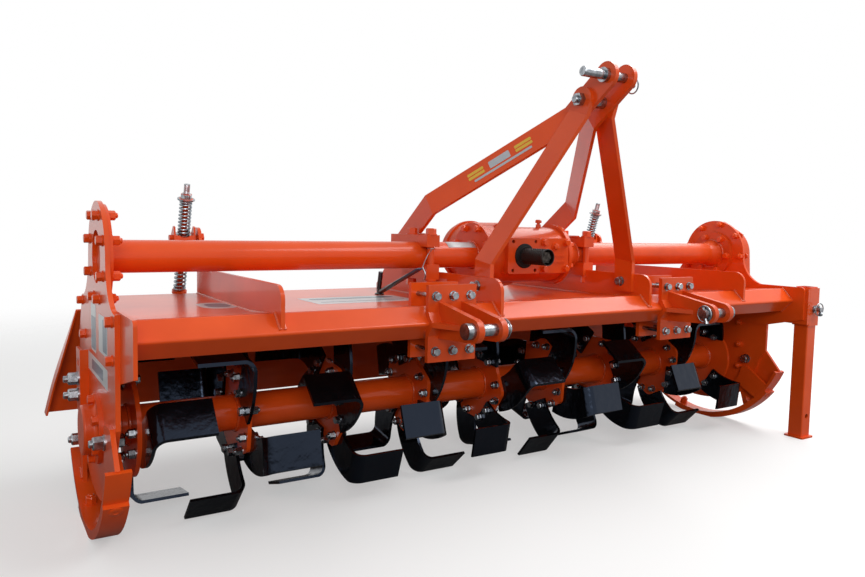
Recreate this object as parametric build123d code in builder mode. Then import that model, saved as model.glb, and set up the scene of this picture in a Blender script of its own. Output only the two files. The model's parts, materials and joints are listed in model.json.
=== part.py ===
from build123d import *
from math import atan2, cos, degrees, hypot, radians, sin, sqrt
import os

# Three-point mounted rotary tiller, sizes in millimetres.
# The origin is midway between the lower hitch pins, on their axis. -Y points to the
# tractor, +Z is up and +X is the machine's left, where the gear case and stand are.

# ---- Hitch, category 2 -------------------------------------------------------
hitch_spacing = 825
lower_pin_diameter = 28
mast_height = 620
top_pin_diameter = 25
top_pin_collar = 37
top_pin_y = 27
pin_clearance = 0.25

# ---- Layout of the main axes -------------------------------------------------
axle_y = 462
axle_z = 150
rotor_y = 452
rotor_z = -240
ground_z = -480
beam_y = 173
support_x = -1154
drive_x = 1029

# ---- Stock sizes -------------------------------------------------------------
plate = 10
sheet = 5
rib_plate = 9
end_plate = 8
bar = 12
axle_diameter = 76
beam_side = 60
beam_wall = 5
beam_corner = 6

# ---- Side plates -------------------------------------------------------------
plate_head_radius = 125
plate_front_y = 229
plate_rear_y = 760
plate_rear_z = -58
plate_rear_top_y = 708
plate_shoulder_z = 44
plate_corner_z = -192
plate_notch = (252, -226)
plate_foot_front_y = 290
plate_foot_center = (500, -59)
plate_foot_radius = 350
sweep_inset = 6
tube_hole_radius = 60
shaft_hole_radius = 29
arm_front_y = 84
arm_bottom_z = -79
flange_thickness = 8
flange_radius = 118
collar_radius = 82
collar_thickness = 14
collar_neck_radius = 50
collar_neck_length = 46

# ---- Hole strip on the outside of the support plate ---------------------------
angle_y = 600
angle_width = 65
angle_out = 20
angle_wall = 6
angle_top_z = -83
angle_bottom_z = -240
angle_hole = 20
angle_hole_z = -118
angle_holes = 3
angle_pitch = 40

# ---- Hood --------------------------------------------------------------------
deck_z = 27
deck_drop = 2
deck_bend_y = 325
deck_rear_y = 800
deck_lip = 24
end_plate_front_y = 95
end_plate_slope = 60
end_plate_rise = 6
end_plate_drop = 20
end_plate_corner = 12
end_plate_bottom_z = -96
rib_front_y = 138
rib_top_z = 102
rib_corner_radius = 34
rib_tail = 60
rib_inner_x = (-258, 296)
rib_outer_inset = (308, 280)
rib_head_radius = 30

# ---- Clevises ----------------------------------------------------------------
clevis_width = 140
clevis_height = 186
clevis_plate = 12
clevis_gap = 50
clevis_ear = 16
clevis_nose_radius = 28
clevis_flat_y = 148
flat_start_z = 28
clevis_nose = 14
clevis_web = 12
clevis_web_reach = 0.6
ear_top_z = 52
ear_bottom_z = -36
lower_pin_tail = 22
lower_pin_head = 20
lower_pin_head_radius = 19
clamp_plate = 12
clamp_seat = 0.3

# ---- Mast --------------------------------------------------------------------
mast_gap = 54
bar_width = 68
brace_angle = 37
brace_bend = 150
mast_bolt_reach = 88
mast_bolt_diameter = 20
mast_spacer_diameter = 32
mast_nut_across = 30
brace_foot = 541
top_pin_long = 119
top_pin_head = 50
top_pin_short = 51
nut_height = 16
bar_bend_y = 232
bar_bend_z = 142
bar_straight = 33
bar_foot_z = 48

# ---- Tube clamps -------------------------------------------------------------
clamp_x = 301
clamp_width = 42
clamp_cap = 20
clamp_base = 29
clamp_split = 25
tube_clamp_front_y = 398
tube_clamp_low_front_y = 398
tube_clamp_rear_y = 600
tube_clamp_low_rear_y = 534
clamp_bolt_diameter = 20
clamp_bolt_gap = 3
saddle_clearance = 0.3

# ---- Gearbox -----------------------------------------------------------------
gearbox_left_x = -122
gearbox_right_x = 200
gearbox_radius = 86
gearbox_flange_radius = 96
gearbox_flange = 14
gearbox_front_y = 361
gearbox_half_height = 53
gearbox_neck_length = 80
gearbox_neck_radius = 64
gearbox_corner = 8
gearbox_cover_x = (62, 176)
input_flange_half = 62
input_flange = 12
input_hole_spacing = 86
input_hole_diameter = 11
input_hole_depth = 22
seal_radius = 37
seal_depth = 6
seal_proud = 1
rear_cover_radius = 98
rear_cover_y = 676
rear_cover_corner = 18
rear_rim_y = 634
rear_rim_width = 12
rear_rim_height = 5
pto_diameter = 35
pto_front_y = 266
pto_sleeve_diameter = 49
pto_seat = 60
sleeve_gap = 3
sleeve_overhang = 8
seal_gap = 0.5

# ---- Rotor -------------------------------------------------------------------
rotor_tube_diameter = 89
rotor_tube_wall = 8
tube_overrun = 15
shaft_plug = 20
flange_count = 9
flange_first_inset = 56
flange_last_inset = 62
wide_bay = 278
wide_bays = 2
rotor_flange_radius = 124
flange_lobe_radius = 24
flange_step = 29
rotor_flange = 10
end_disc_radius = 120
tine_radius = 236
tine_thickness = 8
tine_reach = 135
tine_bend = 30
tine_relief = 24
tine_lead = 40
tine_trail = (36, 198)
tine_root_trail = (-2, 76)
tine_root_lead = (-98, 72)
tine_trail_bow = (5, 135)
tine_lead_bow = (-86, 160)
tine_root_turn = 28
tine_first_angle = 75
tine_stagger = 53
hub_radius = 42
shaft_radius = 25
shaft_reach = 28
shaft_end_gap = 2
running = 0.05
hub_gap = 6
bearing_radius = 56
bearing_length = 38
bearing_flange = 10
bearing_flange_radius = 79
bearing_root = 8
bearing_corner = 5

# ---- Gear case ---------------------------------------------------------------
case_depth = 78
case_top_radius = 104
case_foot_radius = 122
case_rim = 10
case_rim_width = 16
case_corner = 22

# ---- Skids -------------------------------------------------------------------
skid_strip = 10
skid_out = 28
skid_in = 12
skid_web = 10
skid_y = 494
skid_radius = 343
skid_angles = (202, 317)
wear_strip = 10
wear_flat = 6
wear_angles = (216, 287)
skid_front_web = ((238, -188), (310, -196), (345, -300), (300, -440))
skid_gusset = ((294, -258), (205, -318), (245, -372), (339, -320), (326, -264))
skid_bar_front_y = 650
skid_bar_rear_y = 690
skid_bar_top_z = -280
skid_case_gap = 2

# ---- Parking stand -----------------------------------------------------------
sleeve_side = 60
sleeve_wall = 4.8
sleeve_top_z = 46
sleeve_bottom_z = -84
stand_y = 114
leg_side = 50
leg_wall = 5
foot_side = 68
foot_plate = 6
leg_proud = 4
tube_corner = 4
foot_corner = 6
stand_pin_out = 24
stand_pin_diameter = 16
stand_collar_diameter = 26
stand_collar = 4
stand_pin_z = -26
stand_travel = 377
stand_gap = 0.5

# ---- Trailing board ----------------------------------------------------------
hinge_y = 814
hinge_z = -2
hinge_pin_diameter = 12
hinge_pin_out = 4
knuckle_radius = 11
knuckle_length = 50
knuckle_gap = 1
hinge_inset = 155
board_angle = 60
board_run = 190
board_radius = 200
board_end = 42
board_overhang = 72
board_rim = 42
rim_start = 6
board_sheet = 5
lug_start = 76
lug_end = 134

# ---- Spring rods -------------------------------------------------------------
rod_offset = 40
rod_diameter = 16
rod_top_z = 334
yoke_y = 806
yoke_z = 186
yoke_half = 30
rod_eye_y = 887
rod_eye_z = -80
spring_wire = 5
spring_radius = 16
upper_spring = 100
lower_spring = 150
rod_seat = 3
rod_collar = 21
rod_collar_height = 8
rod_washer = 4
rod_washer_radius = 19
rod_nut = 14
rod_nut_across = 26
rod_eye_width = 20
yoke_half_height = 11
yoke_depth = 44
yoke_ear = 33
yoke_ear_plate = 5
yoke_foot = 16
yoke_pin_out = 10
yoke_nut = 11
lug_plate = 8
lug_gap = 1
rod_pin_out = 6
eye_radius = 17
rod_pin_radius = 8
spring_gap = 0.5

# ---- Shaft rest --------------------------------------------------------------
rest_x = -368
rest_diameter = 14
rest_front = (359, 118)
rest_rear = (590, 30)
rest_tip = (577, 95)

os.makedirs("parts", exist_ok=True)


def save(piece, name):
    """Label a finished piece and write it to its own file."""
    piece.part.label = name
    export_step(piece.part, f"parts/{name}.step")


def side(x):
    """Plane across the machine at x, drawn in (y, z)."""
    return Plane.YZ.offset(x)


# ---- Values worked out from the driving sizes ---------------------------------
drive_out = drive_x + plate
support_out = support_x - plate
hood_left = support_x + end_plate
hood_right = drive_x - end_plate
beam_reach = beam_side / sqrt(2)
beam_front_y = beam_y - beam_reach
beam_rear_y = beam_y + beam_reach
flange_first_x = support_x + flange_first_inset
even_bays = flange_count - 1 - wide_bays
even_run = drive_x - flange_last_inset - wide_bays * wide_bay - flange_first_x
flange_pitch = even_run / even_bays
even_x = [flange_first_x + flange_pitch * i for i in range(even_bays + 1)]
flange_x = even_x + [even_x[-1] + wide_bay * (i + 1) for i in range(wide_bays)]
rib_outer_x = (support_x + rib_outer_inset[0], drive_x - rib_outer_inset[1])
hinge_x = (support_x + hinge_inset, (support_x + drive_x) / 2, drive_x - hinge_inset)
axle_radius = axle_diameter / 2
saddle_radius = axle_radius + saddle_clearance
upper_low_z = axle_z + clamp_split
upper_top_z = axle_z + axle_radius + clamp_cap
lower_high_z = axle_z - clamp_split
lower_bottom_z = axle_z - axle_radius - clamp_base
bolt_reach = axle_radius + clamp_bolt_diameter / 2 + clamp_bolt_gap


# ---- Side plates ---------------------------------------------------------------
def sweep_radius(reach):
    """Radius of the hollow curve that joins the round head to the shoulder, reach away."""
    rise = axle_z - plate_shoulder_z
    across = plate_head_radius + rise
    return (reach**2 / across - (plate_head_radius - rise)) / 2


def foot_point(y):
    """Point in (y, z) on the round foot of a side plate."""
    across = y - plate_foot_center[0]
    return (y, plate_foot_center[1] - sqrt(plate_foot_radius**2 - across**2))


def plate_outline(arm):
    """Side plate in (y, z): round head, swept shoulders, straight body and round foot."""
    half_chord = sqrt(plate_head_radius**2 - (axle_z - plate_shoulder_z) ** 2)
    with BuildSketch() as outline:
        with BuildLine():
            body = Polyline(
                foot_point(plate_foot_front_y),
                plate_notch,
                (plate_front_y, plate_corner_z),
                (plate_front_y, plate_shoulder_z),
                (plate_rear_top_y, plate_shoulder_z),
                (plate_rear_y, plate_rear_z),
                foot_point(plate_rear_y),
            )
            ThreePointArc(body @ 1, foot_point(plate_foot_center[0]), body @ 0)
        make_face()
        with Locations((axle_y, axle_z)):
            Circle(plate_head_radius)
        for sign, reach in ((-1, axle_y - plate_front_y), (1, plate_rear_top_y - axle_y)):
            notch = Vector(axle_y + sign * half_chord, plate_shoulder_z, 0)
            fillet(outline.vertices().sort_by_distance(notch)[0], sweep_radius(reach - sweep_inset))
        if arm:
            Polygon(
                (arm_front_y, plate_shoulder_z),
                (arm_front_y, arm_bottom_z),
                (plate_front_y + 1, arm_bottom_z),
                (plate_front_y + 1, plate_shoulder_z),
                align=None,
            )
    return outline.sketch


with BuildPart() as support_plate:
    with BuildSketch(side(support_out)):
        add(plate_outline(arm=False))
        with Locations((axle_y, axle_z)):
            Circle(tube_hole_radius, mode=Mode.SUBTRACT)
        with Locations((rotor_y, rotor_z)):
            Circle(shaft_hole_radius, mode=Mode.SUBTRACT)
    extrude(amount=plate)
    with BuildSketch(Plane.XY.offset(angle_bottom_z)):
        Polygon(
            (support_out, angle_y),
            (support_out - angle_out, angle_y),
            (support_out - angle_out, angle_y + angle_width),
            (support_out - angle_out + angle_wall, angle_y + angle_width),
            (support_out - angle_out + angle_wall, angle_y + angle_wall),
            (support_out, angle_y + angle_wall),
            align=None,
        )
    extrude(amount=angle_top_z - angle_bottom_z)
    with BuildSketch(side(support_out - angle_out)):
        for index in range(angle_holes):
            with Locations((angle_y + angle_width / 2, angle_hole_z - index * angle_pitch)):
                Circle(angle_hole / 2)
    extrude(amount=angle_wall, mode=Mode.SUBTRACT)
save(support_plate, "support_plate")

with BuildPart() as drive_plate:
    with BuildSketch(side(drive_x)):
        add(plate_outline(arm=True))
        with Locations((rotor_y, rotor_z)):
            Circle(shaft_hole_radius, mode=Mode.SUBTRACT)
    extrude(amount=plate)
save(drive_plate, "drive_plate")

# ---- Gear case on the outside of the drive plate --------------------------------
with BuildPart() as gear_case:
    for grow, depth in ((case_rim_width, case_rim), (0, case_depth)):
        with BuildSketch(side(drive_out)) as ring:
            with Locations((axle_y, axle_z)):
                Circle(case_top_radius + grow)
            with Locations((rotor_y, rotor_z)):
                Circle(case_foot_radius + grow)
            make_hull(ring.edges())
        extrude(amount=depth)
    fillet(gear_case.faces().sort_by(Axis.X)[-1].edges(), case_corner)
    with BuildSketch(side(drive_out)):
        with Locations((rotor_y, rotor_z)):
            Circle(shaft_radius + running)
    extrude(amount=shaft_reach, mode=Mode.SUBTRACT)
save(gear_case, "gear_case")

# ---- Rotor bearing housing on the outside of the support plate -------------------
with BuildPart() as bearing_housing:
    for radius, depth in ((bearing_flange_radius, bearing_flange), (bearing_radius, bearing_length)):
        with BuildSketch(side(support_out)):
            with Locations((rotor_y, rotor_z)):
                Circle(radius)
        extrude(amount=-depth)
    fillet(bearing_housing.faces().sort_by(Axis.X)[0].edges(), bearing_corner)
    root = Vector(support_out - bearing_flange, rotor_y, rotor_z + bearing_radius)
    fillet(bearing_housing.edges().sort_by_distance(root)[0], bearing_root)
    with BuildSketch(side(support_out)):
        with Locations((rotor_y, rotor_z)):
            Circle(shaft_radius + running)
    extrude(amount=-shaft_reach, mode=Mode.SUBTRACT)
save(bearing_housing, "bearing_housing")

# ---- Hood: deck, end plates, front beam and ribs ---------------------------------
hood_length = hood_right - hood_left
deck_front_z = beam_reach - deck_drop
clevis_x = (-hitch_spacing / 2, hitch_spacing / 2)
clamp_front_y = beam_rear_y + clamp_seat
clamp_rear_y = clamp_front_y + clamp_plate


def deck_profile(lower):
    """Hood sheet in (y, z): front strip, flat deck and rear lip, its underside lowered."""
    Polygon(
        (beam_y, deck_front_z),
        (deck_bend_y, deck_z),
        (deck_rear_y, deck_z),
        (deck_rear_y, deck_z - deck_lip),
        (deck_rear_y - sheet, deck_z - deck_lip),
        (deck_rear_y - sheet, deck_z - lower),
        (deck_bend_y, deck_z - lower),
        (beam_y, deck_front_z - lower),
        align=None,
    )


def beam_section(size, mode=Mode.ADD):
    """Square tube stood on its corner, so that one edge points forward."""
    with Locations((beam_y, 0)):
        Rectangle(size, size, rotation=45, mode=mode)


with BuildPart() as hood_deck:
    with BuildSketch(side(hood_left)):
        deck_profile(sheet)
        beam_section(beam_side, Mode.SUBTRACT)
    extrude(amount=hood_length)
    for x in clevis_x:
        with BuildSketch(Plane.XY.offset(deck_z - sheet)):
            with Locations((x, beam_y)):
                Rectangle(
                    clevis_width + 2 * clamp_seat,
                    clamp_rear_y + clamp_seat - beam_y,
                    align=(Align.CENTER, Align.MIN),
                )
        extrude(amount=clevis_height / 2, mode=Mode.SUBTRACT)
    for x in hinge_x:
        for shift in (-knuckle_length, knuckle_length):
            with BuildSketch(side(x + shift - knuckle_length / 2 + knuckle_gap / 2)):
                with Locations((hinge_y, hinge_z)):
                    Circle(knuckle_radius)
                Polygon(
                    (deck_rear_y, deck_z),
                    (deck_rear_y, deck_z - deck_lip),
                    (hinge_y, hinge_z - knuckle_radius),
                    (hinge_y, hinge_z + knuckle_radius),
                    align=None,
                )
                with Locations((hinge_y, hinge_z)):
                    Circle(hinge_pin_diameter / 2 + running, mode=Mode.SUBTRACT)
            extrude(amount=knuckle_length - knuckle_gap)
save(hood_deck, "hood_deck")

with BuildPart() as hinge_pins:
    for x in hinge_x:
        hinge_half = 1.5 * knuckle_length + hinge_pin_out
        with BuildSketch(side(x - hinge_half)):
            with Locations((hinge_y, hinge_z)):
                Circle(hinge_pin_diameter / 2)
        extrude(amount=2 * hinge_half)
save(hinge_pins, "hinge_pins")

for name, x in (("hood_end_support", support_x), ("hood_end_drive", hood_right)):
    with BuildPart() as hood_end:
        with BuildSketch(side(x)) as end_sketch:
            Polygon(
                (end_plate_front_y, beam_reach + end_plate_rise),
                (end_plate_front_y, -beam_reach - end_plate_drop),
                (plate_front_y, end_plate_bottom_z),
                (deck_rear_y, end_plate_bottom_z),
                (deck_rear_y, deck_z),
                (deck_bend_y, deck_z),
                (deck_bend_y - end_plate_slope, beam_reach + end_plate_rise),
                align=None,
            )
            corner = Vector(end_plate_front_y, beam_reach + end_plate_rise, 0)
            fillet(end_sketch.vertices().sort_by_distance(corner)[0], end_plate_corner)
        extrude(amount=end_plate)
    save(hood_end, name)

with BuildPart() as front_beam:
    with BuildSketch(side(hood_left)) as beam_sketch:
        beam_section(beam_side)
        fillet(beam_sketch.vertices(), beam_corner)
        beam_section(beam_side - 2 * beam_wall, Mode.SUBTRACT)
    extrude(amount=hood_length)
save(front_beam, "front_beam")


def rib_outline(head, notch):
    """Rib in (y, z): nose over the beam, flat top, rod head, and a notch for a tube clamp."""
    with BuildSketch() as rib:
        Polygon(
            (rib_front_y, 0),
            (rib_front_y, rib_top_z),
            (deck_rear_y - sheet, rib_top_z),
            (deck_rear_y - sheet, 0),
            align=None,
        )
        corner = Vector(rib_front_y, rib_top_z, 0)
        fillet(rib.vertices().sort_by_distance(corner)[0], rib_corner_radius)
        if head:
            with Locations((yoke_y, yoke_z)):
                Circle(rib_head_radius)
            Polygon(
                (yoke_y - rib_head_radius, yoke_z),
                (yoke_y - 4 * rib_head_radius, rib_top_z),
                (deck_rear_y - sheet, rib_top_z),
                (yoke_y + rib_head_radius, yoke_z),
                align=None,
            )
        else:
            rear = Vector(deck_rear_y - sheet, rib_top_z, 0)
            chamfer(rib.vertices().sort_by_distance(rear)[0], rib_tail)
        beam_section(beam_side, Mode.SUBTRACT)
        Polygon(
            (beam_y, deck_front_z),
            (deck_bend_y, deck_z),
            (deck_rear_y, deck_z),
            (deck_rear_y, -beam_reach),
            (beam_y, -beam_reach),
            align=None,
            mode=Mode.SUBTRACT,
        )
        if head:
            with Locations((yoke_y, yoke_z)):
                Circle(rod_pin_radius + running, mode=Mode.SUBTRACT)
        if notch:
            Polygon(
                (tube_clamp_low_front_y - clamp_seat, lower_bottom_z),
                (tube_clamp_low_rear_y + clamp_seat, lower_bottom_z),
                (tube_clamp_low_rear_y + clamp_seat, rib_top_z),
                (tube_clamp_low_front_y - clamp_seat, rib_top_z),
                align=None,
                mode=Mode.SUBTRACT,
            )
    return rib.sketch


with BuildPart() as ribs:
    for x in rib_inner_x:
        with BuildSketch(side(x - rib_plate / 2)):
            add(rib_outline(head=False, notch=x > 0))
        extrude(amount=rib_plate)
    for x in rib_outer_x:
        with BuildSketch(side(x - rib_plate / 2)):
            add(rib_outline(head=True, notch=False))
        extrude(amount=rib_plate)
save(ribs, "ribs")

# ---- Gearbox and the two halves of the axle tube ---------------------------------
with BuildPart() as gearbox:
    with BuildSketch(side(gearbox_left_x)):
        with Locations((axle_y, axle_z)):
            Circle(gearbox_radius)
    extrude(amount=gearbox_right_x - gearbox_left_x)
    for x in (gearbox_left_x, gearbox_right_x - gearbox_flange):
        with BuildSketch(side(x)):
            with Locations((axle_y, axle_z)):
                Circle(gearbox_flange_radius)
        extrude(amount=gearbox_flange)
    with BuildSketch(Plane.XY.offset(axle_z - gearbox_half_height)):
        Polygon(
            (-input_flange_half, gearbox_front_y + input_flange),
            (gearbox_cover_x[1], gearbox_front_y + input_flange),
            (gearbox_cover_x[1], axle_y),
            (-input_flange_half, axle_y),
            align=None,
        )
    extrude(amount=2 * gearbox_half_height)
    for x0, x1 in ((-input_flange_half, input_flange_half), gearbox_cover_x):
        with BuildSketch(Plane.XZ.offset(-gearbox_front_y - input_flange)) as front:
            with Locations(((x0 + x1) / 2, axle_z)):
                Rectangle(x1 - x0, 2 * gearbox_half_height)
            fillet(front.vertices(), gearbox_corner)
        extrude(amount=input_flange)
    with BuildSketch(Plane.XZ.offset(-axle_y)):
        with Locations((0, axle_z)):
            Circle(rear_cover_radius)
    extrude(amount=-(rear_cover_y - axle_y))
    fillet(gearbox.faces().sort_by(Axis.Y)[-1].edges(), rear_cover_corner)
    with BuildSketch(Plane.XZ.offset(-rear_rim_y)):
        with Locations((0, axle_z)):
            Circle(rear_cover_radius + rear_rim_height)
    extrude(amount=-rear_rim_width)
    with BuildSketch(Plane.XZ.offset(-gearbox_front_y)):
        with Locations((0, axle_z)):
            Circle(seal_radius)
    extrude(amount=-seal_depth, mode=Mode.SUBTRACT)
    with BuildSketch(Plane.XZ.offset(-gearbox_front_y)):
        with Locations((0, axle_z)):
            Circle(pto_diameter / 2 + running)
    extrude(amount=-pto_seat, mode=Mode.SUBTRACT)
    with BuildSketch(Plane.XZ.offset(-gearbox_front_y)):
        with Locations((0, axle_z)):
            with GridLocations(input_hole_spacing, input_hole_spacing, 2, 2):
                Circle(input_hole_diameter / 2)
    extrude(amount=-input_hole_depth, mode=Mode.SUBTRACT)
save(gearbox, "gearbox")

with BuildPart() as pto_seal:
    with BuildSketch(Plane.XZ.offset(-gearbox_front_y - seal_depth)):
        with Locations((0, axle_z)):
            Circle(seal_radius - clamp_seat)
            Circle(pto_diameter / 2 + seal_gap, mode=Mode.SUBTRACT)
    extrude(amount=seal_depth + seal_proud)
save(pto_seal, "pto_seal")

with BuildPart() as pto_shaft:
    with BuildSketch(Plane.XZ.offset(-gearbox_front_y - pto_seat)):
        with Locations((0, axle_z)):
            Circle(pto_diameter / 2)
    extrude(amount=gearbox_front_y + pto_seat - pto_front_y)
    chamfer(pto_shaft.faces().sort_by(Axis.Y)[0].edges(), 2)
save(pto_shaft, "pto_shaft")

with BuildPart() as pto_sleeve:
    with BuildSketch(Plane.XZ.offset(-gearbox_front_y + sleeve_gap)):
        with Locations((0, axle_z)):
            Circle(pto_sleeve_diameter / 2)
            Circle(pto_diameter / 2, mode=Mode.SUBTRACT)
    extrude(amount=gearbox_front_y - sleeve_gap - pto_front_y + sleeve_overhang)
save(pto_sleeve, "pto_sleeve")

with BuildPart() as axle_tube_support:
    with BuildSketch(side(support_x)):
        with Locations((axle_y, axle_z)):
            Circle(axle_radius)
    extrude(amount=gearbox_left_x - support_x)
    with BuildSketch(side(support_x)):
        with Locations((axle_y, axle_z)):
            Circle(flange_radius)
    extrude(amount=flange_thickness)
save(axle_tube_support, "axle_tube_support")

with BuildPart() as axle_tube_drive:
    with BuildSketch(side(gearbox_right_x)):
        with Locations((axle_y, axle_z)):
            Circle(gearbox_neck_radius)
    with BuildSketch(side(gearbox_right_x + gearbox_neck_length)):
        with Locations((axle_y, axle_z)):
            Circle(axle_radius)
    loft()
    with BuildSketch(side(gearbox_right_x)):
        with Locations((axle_y, axle_z)):
            Circle(axle_radius)
    extrude(amount=drive_x - gearbox_right_x)
    with BuildSketch(side(drive_x)):
        with Locations((axle_y, axle_z)):
            Circle(collar_radius)
    extrude(amount=-collar_thickness)
    with BuildSketch(side(drive_x - collar_thickness)):
        with Locations((axle_y, axle_z)):
            Circle(collar_neck_radius)
    with BuildSketch(side(drive_x - collar_thickness - collar_neck_length)):
        with Locations((axle_y, axle_z)):
            Circle(axle_radius)
    loft()
save(axle_tube_drive, "axle_tube_drive")

# ---- Tube clamps that carry the rear braces --------------------------------------
with BuildPart() as tube_clamps_upper:
    for x in (-clamp_x, clamp_x):
        with BuildSketch(side(x - clamp_width / 2)):
            Polygon(
                (tube_clamp_front_y, upper_low_z),
                (tube_clamp_front_y, upper_top_z),
                (tube_clamp_rear_y, upper_top_z),
                (tube_clamp_rear_y, upper_low_z),
                align=None,
            )
            with Locations((axle_y, axle_z)):
                Circle(saddle_radius, mode=Mode.SUBTRACT)
        extrude(amount=clamp_width)
save(tube_clamps_upper, "tube_clamps_upper")

with BuildPart() as tube_clamps_lower:
    for x in (-clamp_x, clamp_x):
        with BuildSketch(side(x - clamp_width / 2)):
            Polygon(
                (tube_clamp_low_front_y, lower_bottom_z),
                (tube_clamp_low_front_y, lower_high_z),
                (tube_clamp_low_rear_y, lower_high_z),
                (tube_clamp_low_rear_y, lower_bottom_z),
                align=None,
            )
            with Locations((axle_y, axle_z)):
                Circle(saddle_radius, mode=Mode.SUBTRACT)
        extrude(amount=clamp_width)
        for y in (axle_y - bolt_reach, axle_y + bolt_reach):
            with BuildSketch(Plane.XY.offset(lower_high_z - 1)):
                with Locations((x, y)):
                    Circle(clamp_bolt_diameter / 2)
            extrude(amount=upper_low_z - lower_high_z + 1)
save(tube_clamps_lower, "tube_clamps_lower")

# ---- Mast ------------------------------------------------------------------------
brace_cos = cos(radians(brace_angle))
brace_sin = sin(radians(brace_angle))


def along_brace(distance):
    """Point in (y, z) on the brace's centre line, measured down from the top pin."""
    return (top_pin_y + distance * brace_cos, mast_height - distance * brace_sin)


def bar_section(x, y, z, angle):
    """Plane square to a flat bar at one point, the bar falling rearward at angle."""
    run = Vector(0, cos(radians(angle)), -sin(radians(angle)))
    return Plane(origin=(x, y, z), x_dir=(1, 0, 0), z_dir=run)


mast_bolt_y, mast_bolt_z = along_brace(mast_bolt_reach)
bend_y, bend_z = along_brace(brace_bend)
brace_x = mast_gap / 2 + bar / 2
brace_foot_x = clamp_x - clamp_width / 2 - bar / 2
foot_y, foot_z = along_brace(brace_foot)
end_y, end_z = along_brace(brace_foot + (foot_z - upper_low_z) / brace_sin + bar_width)
for name, sign in (("mast_brace_right", -1), ("mast_brace_left", 1)):
    with BuildPart() as brace:
        with BuildSketch(side(sign * brace_x - bar / 2)):
            with Locations((top_pin_y, mast_height)):
                Circle(bar_width / 2)
            with Locations(Location(((top_pin_y + bend_y) / 2, (mast_height + bend_z) / 2), -brace_angle)):
                Rectangle(brace_bend, bar_width)
            with Locations((top_pin_y, mast_height)):
                Circle(top_pin_diameter / 2 + pin_clearance, mode=Mode.SUBTRACT)
            with Locations((mast_bolt_y, mast_bolt_z)):
                Circle(mast_bolt_diameter / 2 + pin_clearance, mode=Mode.SUBTRACT)
        extrude(amount=bar)
        stations = (
            (brace_x, bend_y, bend_z),
            (brace_foot_x, foot_y, foot_z),
            (brace_foot_x, end_y, end_z),
        )
        for x, y, z in stations:
            with BuildSketch(bar_section(sign * x, y, z, brace_angle)):
                Rectangle(bar, bar_width)
        loft(ruled=True)
        split(bisect_by=Plane.XY.offset(upper_low_z), keep=Keep.TOP)
    save(brace, name)

bar_x = mast_gap / 2 + bar + bar / 2
bar_angle = degrees(atan2(mast_bolt_z - bar_bend_z, bar_bend_y - mast_bolt_y))
straight_y = mast_bolt_y + bar_straight * cos(radians(bar_angle))
straight_z = mast_bolt_z - bar_straight * sin(radians(bar_angle))
for name, sign, rib_x in (("mast_bar_right", 1, rib_inner_x[0]), ("mast_bar_left", -1, rib_inner_x[1])):
    foot_x = rib_x + sign * (rib_plate + bar) / 2
    with BuildPart() as front_bar:
        with BuildSketch(side(-sign * bar_x - bar / 2)):
            with Locations((mast_bolt_y, mast_bolt_z)):
                Circle(bar_width / 2)
            with Locations(Location((mast_bolt_y, mast_bolt_z), -bar_angle)):
                Rectangle(bar_straight, bar_width, align=(Align.MIN, Align.CENTER))
            with Locations((mast_bolt_y, mast_bolt_z)):
                Circle(mast_bolt_diameter / 2 + pin_clearance, mode=Mode.SUBTRACT)
        extrude(amount=bar)
        stations = (
            (-sign * bar_x, straight_y, straight_z, bar_angle),
            (foot_x, bar_bend_y, bar_bend_z, (bar_angle + 90) / 2),
            (foot_x, bar_bend_y, bar_foot_z, 90),
        )
        for x, y, z, angle in stations:
            with BuildSketch(bar_section(x, y, z, angle)):
                Rectangle(bar, bar_width)
        loft(ruled=True)
    save(front_bar, name)

with BuildPart() as top_pin:
    with BuildSketch(side(-top_pin_long)):
        with Locations((top_pin_y, mast_height)):
            Circle(top_pin_diameter / 2)
    extrude(amount=top_pin_long + top_pin_short)
    chamfer(top_pin.edges().filter_by(GeomType.CIRCLE), 2)
    with BuildSketch(side(-top_pin_head)):
        with Locations((top_pin_y, mast_height)):
            Circle(top_pin_collar / 2)
    extrude(amount=top_pin_head - mast_gap / 2 - bar - clamp_seat)
save(top_pin, "top_pin")

with BuildPart() as mast_bolt:
    with BuildSketch(side(-bar_x - bar / 2 - nut_height)):
        with Locations((mast_bolt_y, mast_bolt_z)):
            Circle(mast_bolt_diameter / 2)
    extrude(amount=2 * bar_x + bar + 2 * nut_height)
    with BuildSketch(side(-mast_gap / 2)):
        with Locations((mast_bolt_y, mast_bolt_z)):
            Circle(mast_spacer_diameter / 2)
    extrude(amount=mast_gap)
    for x in (-bar_x - bar / 2 - nut_height, bar_x + bar / 2):
        with BuildSketch(side(x)):
            with Locations((mast_bolt_y, mast_bolt_z)):
                RegularPolygon(mast_nut_across / 2, 6, major_radius=False)
        extrude(amount=nut_height)
save(mast_bolt, "mast_bolt")

# ---- Lower hitch clevises --------------------------------------------------------
nose_y = beam_front_y - clevis_nose
flat_front_y = clevis_flat_y - clevis_plate
ear_out = clevis_gap / 2 + clevis_ear


def clevis_back():
    """Cast back plate in (y, z): two flats joined by a vee that wraps the beam's edge."""
    Polygon(
        (flat_front_y, clevis_height / 2),
        (flat_front_y, flat_start_z),
        (nose_y, 0),
        (flat_front_y, -flat_start_z),
        (flat_front_y, -clevis_height / 2),
        (clevis_flat_y, -clevis_height / 2),
        (clevis_flat_y, beam_front_y - clevis_flat_y),
        (beam_front_y - clamp_seat, 0),
        (clevis_flat_y, clevis_flat_y - beam_front_y),
        (clevis_flat_y, clevis_height / 2),
        align=None,
    )


def ear_outline():
    """One ear in (y, z), running forward from the back plate to the pin."""
    Circle(clevis_nose_radius)
    Polygon(
        (flat_front_y, ear_top_z),
        (flat_front_y, ear_bottom_z),
        (0, -clevis_nose_radius),
        (0, clevis_nose_radius),
        align=None,
    )


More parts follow.
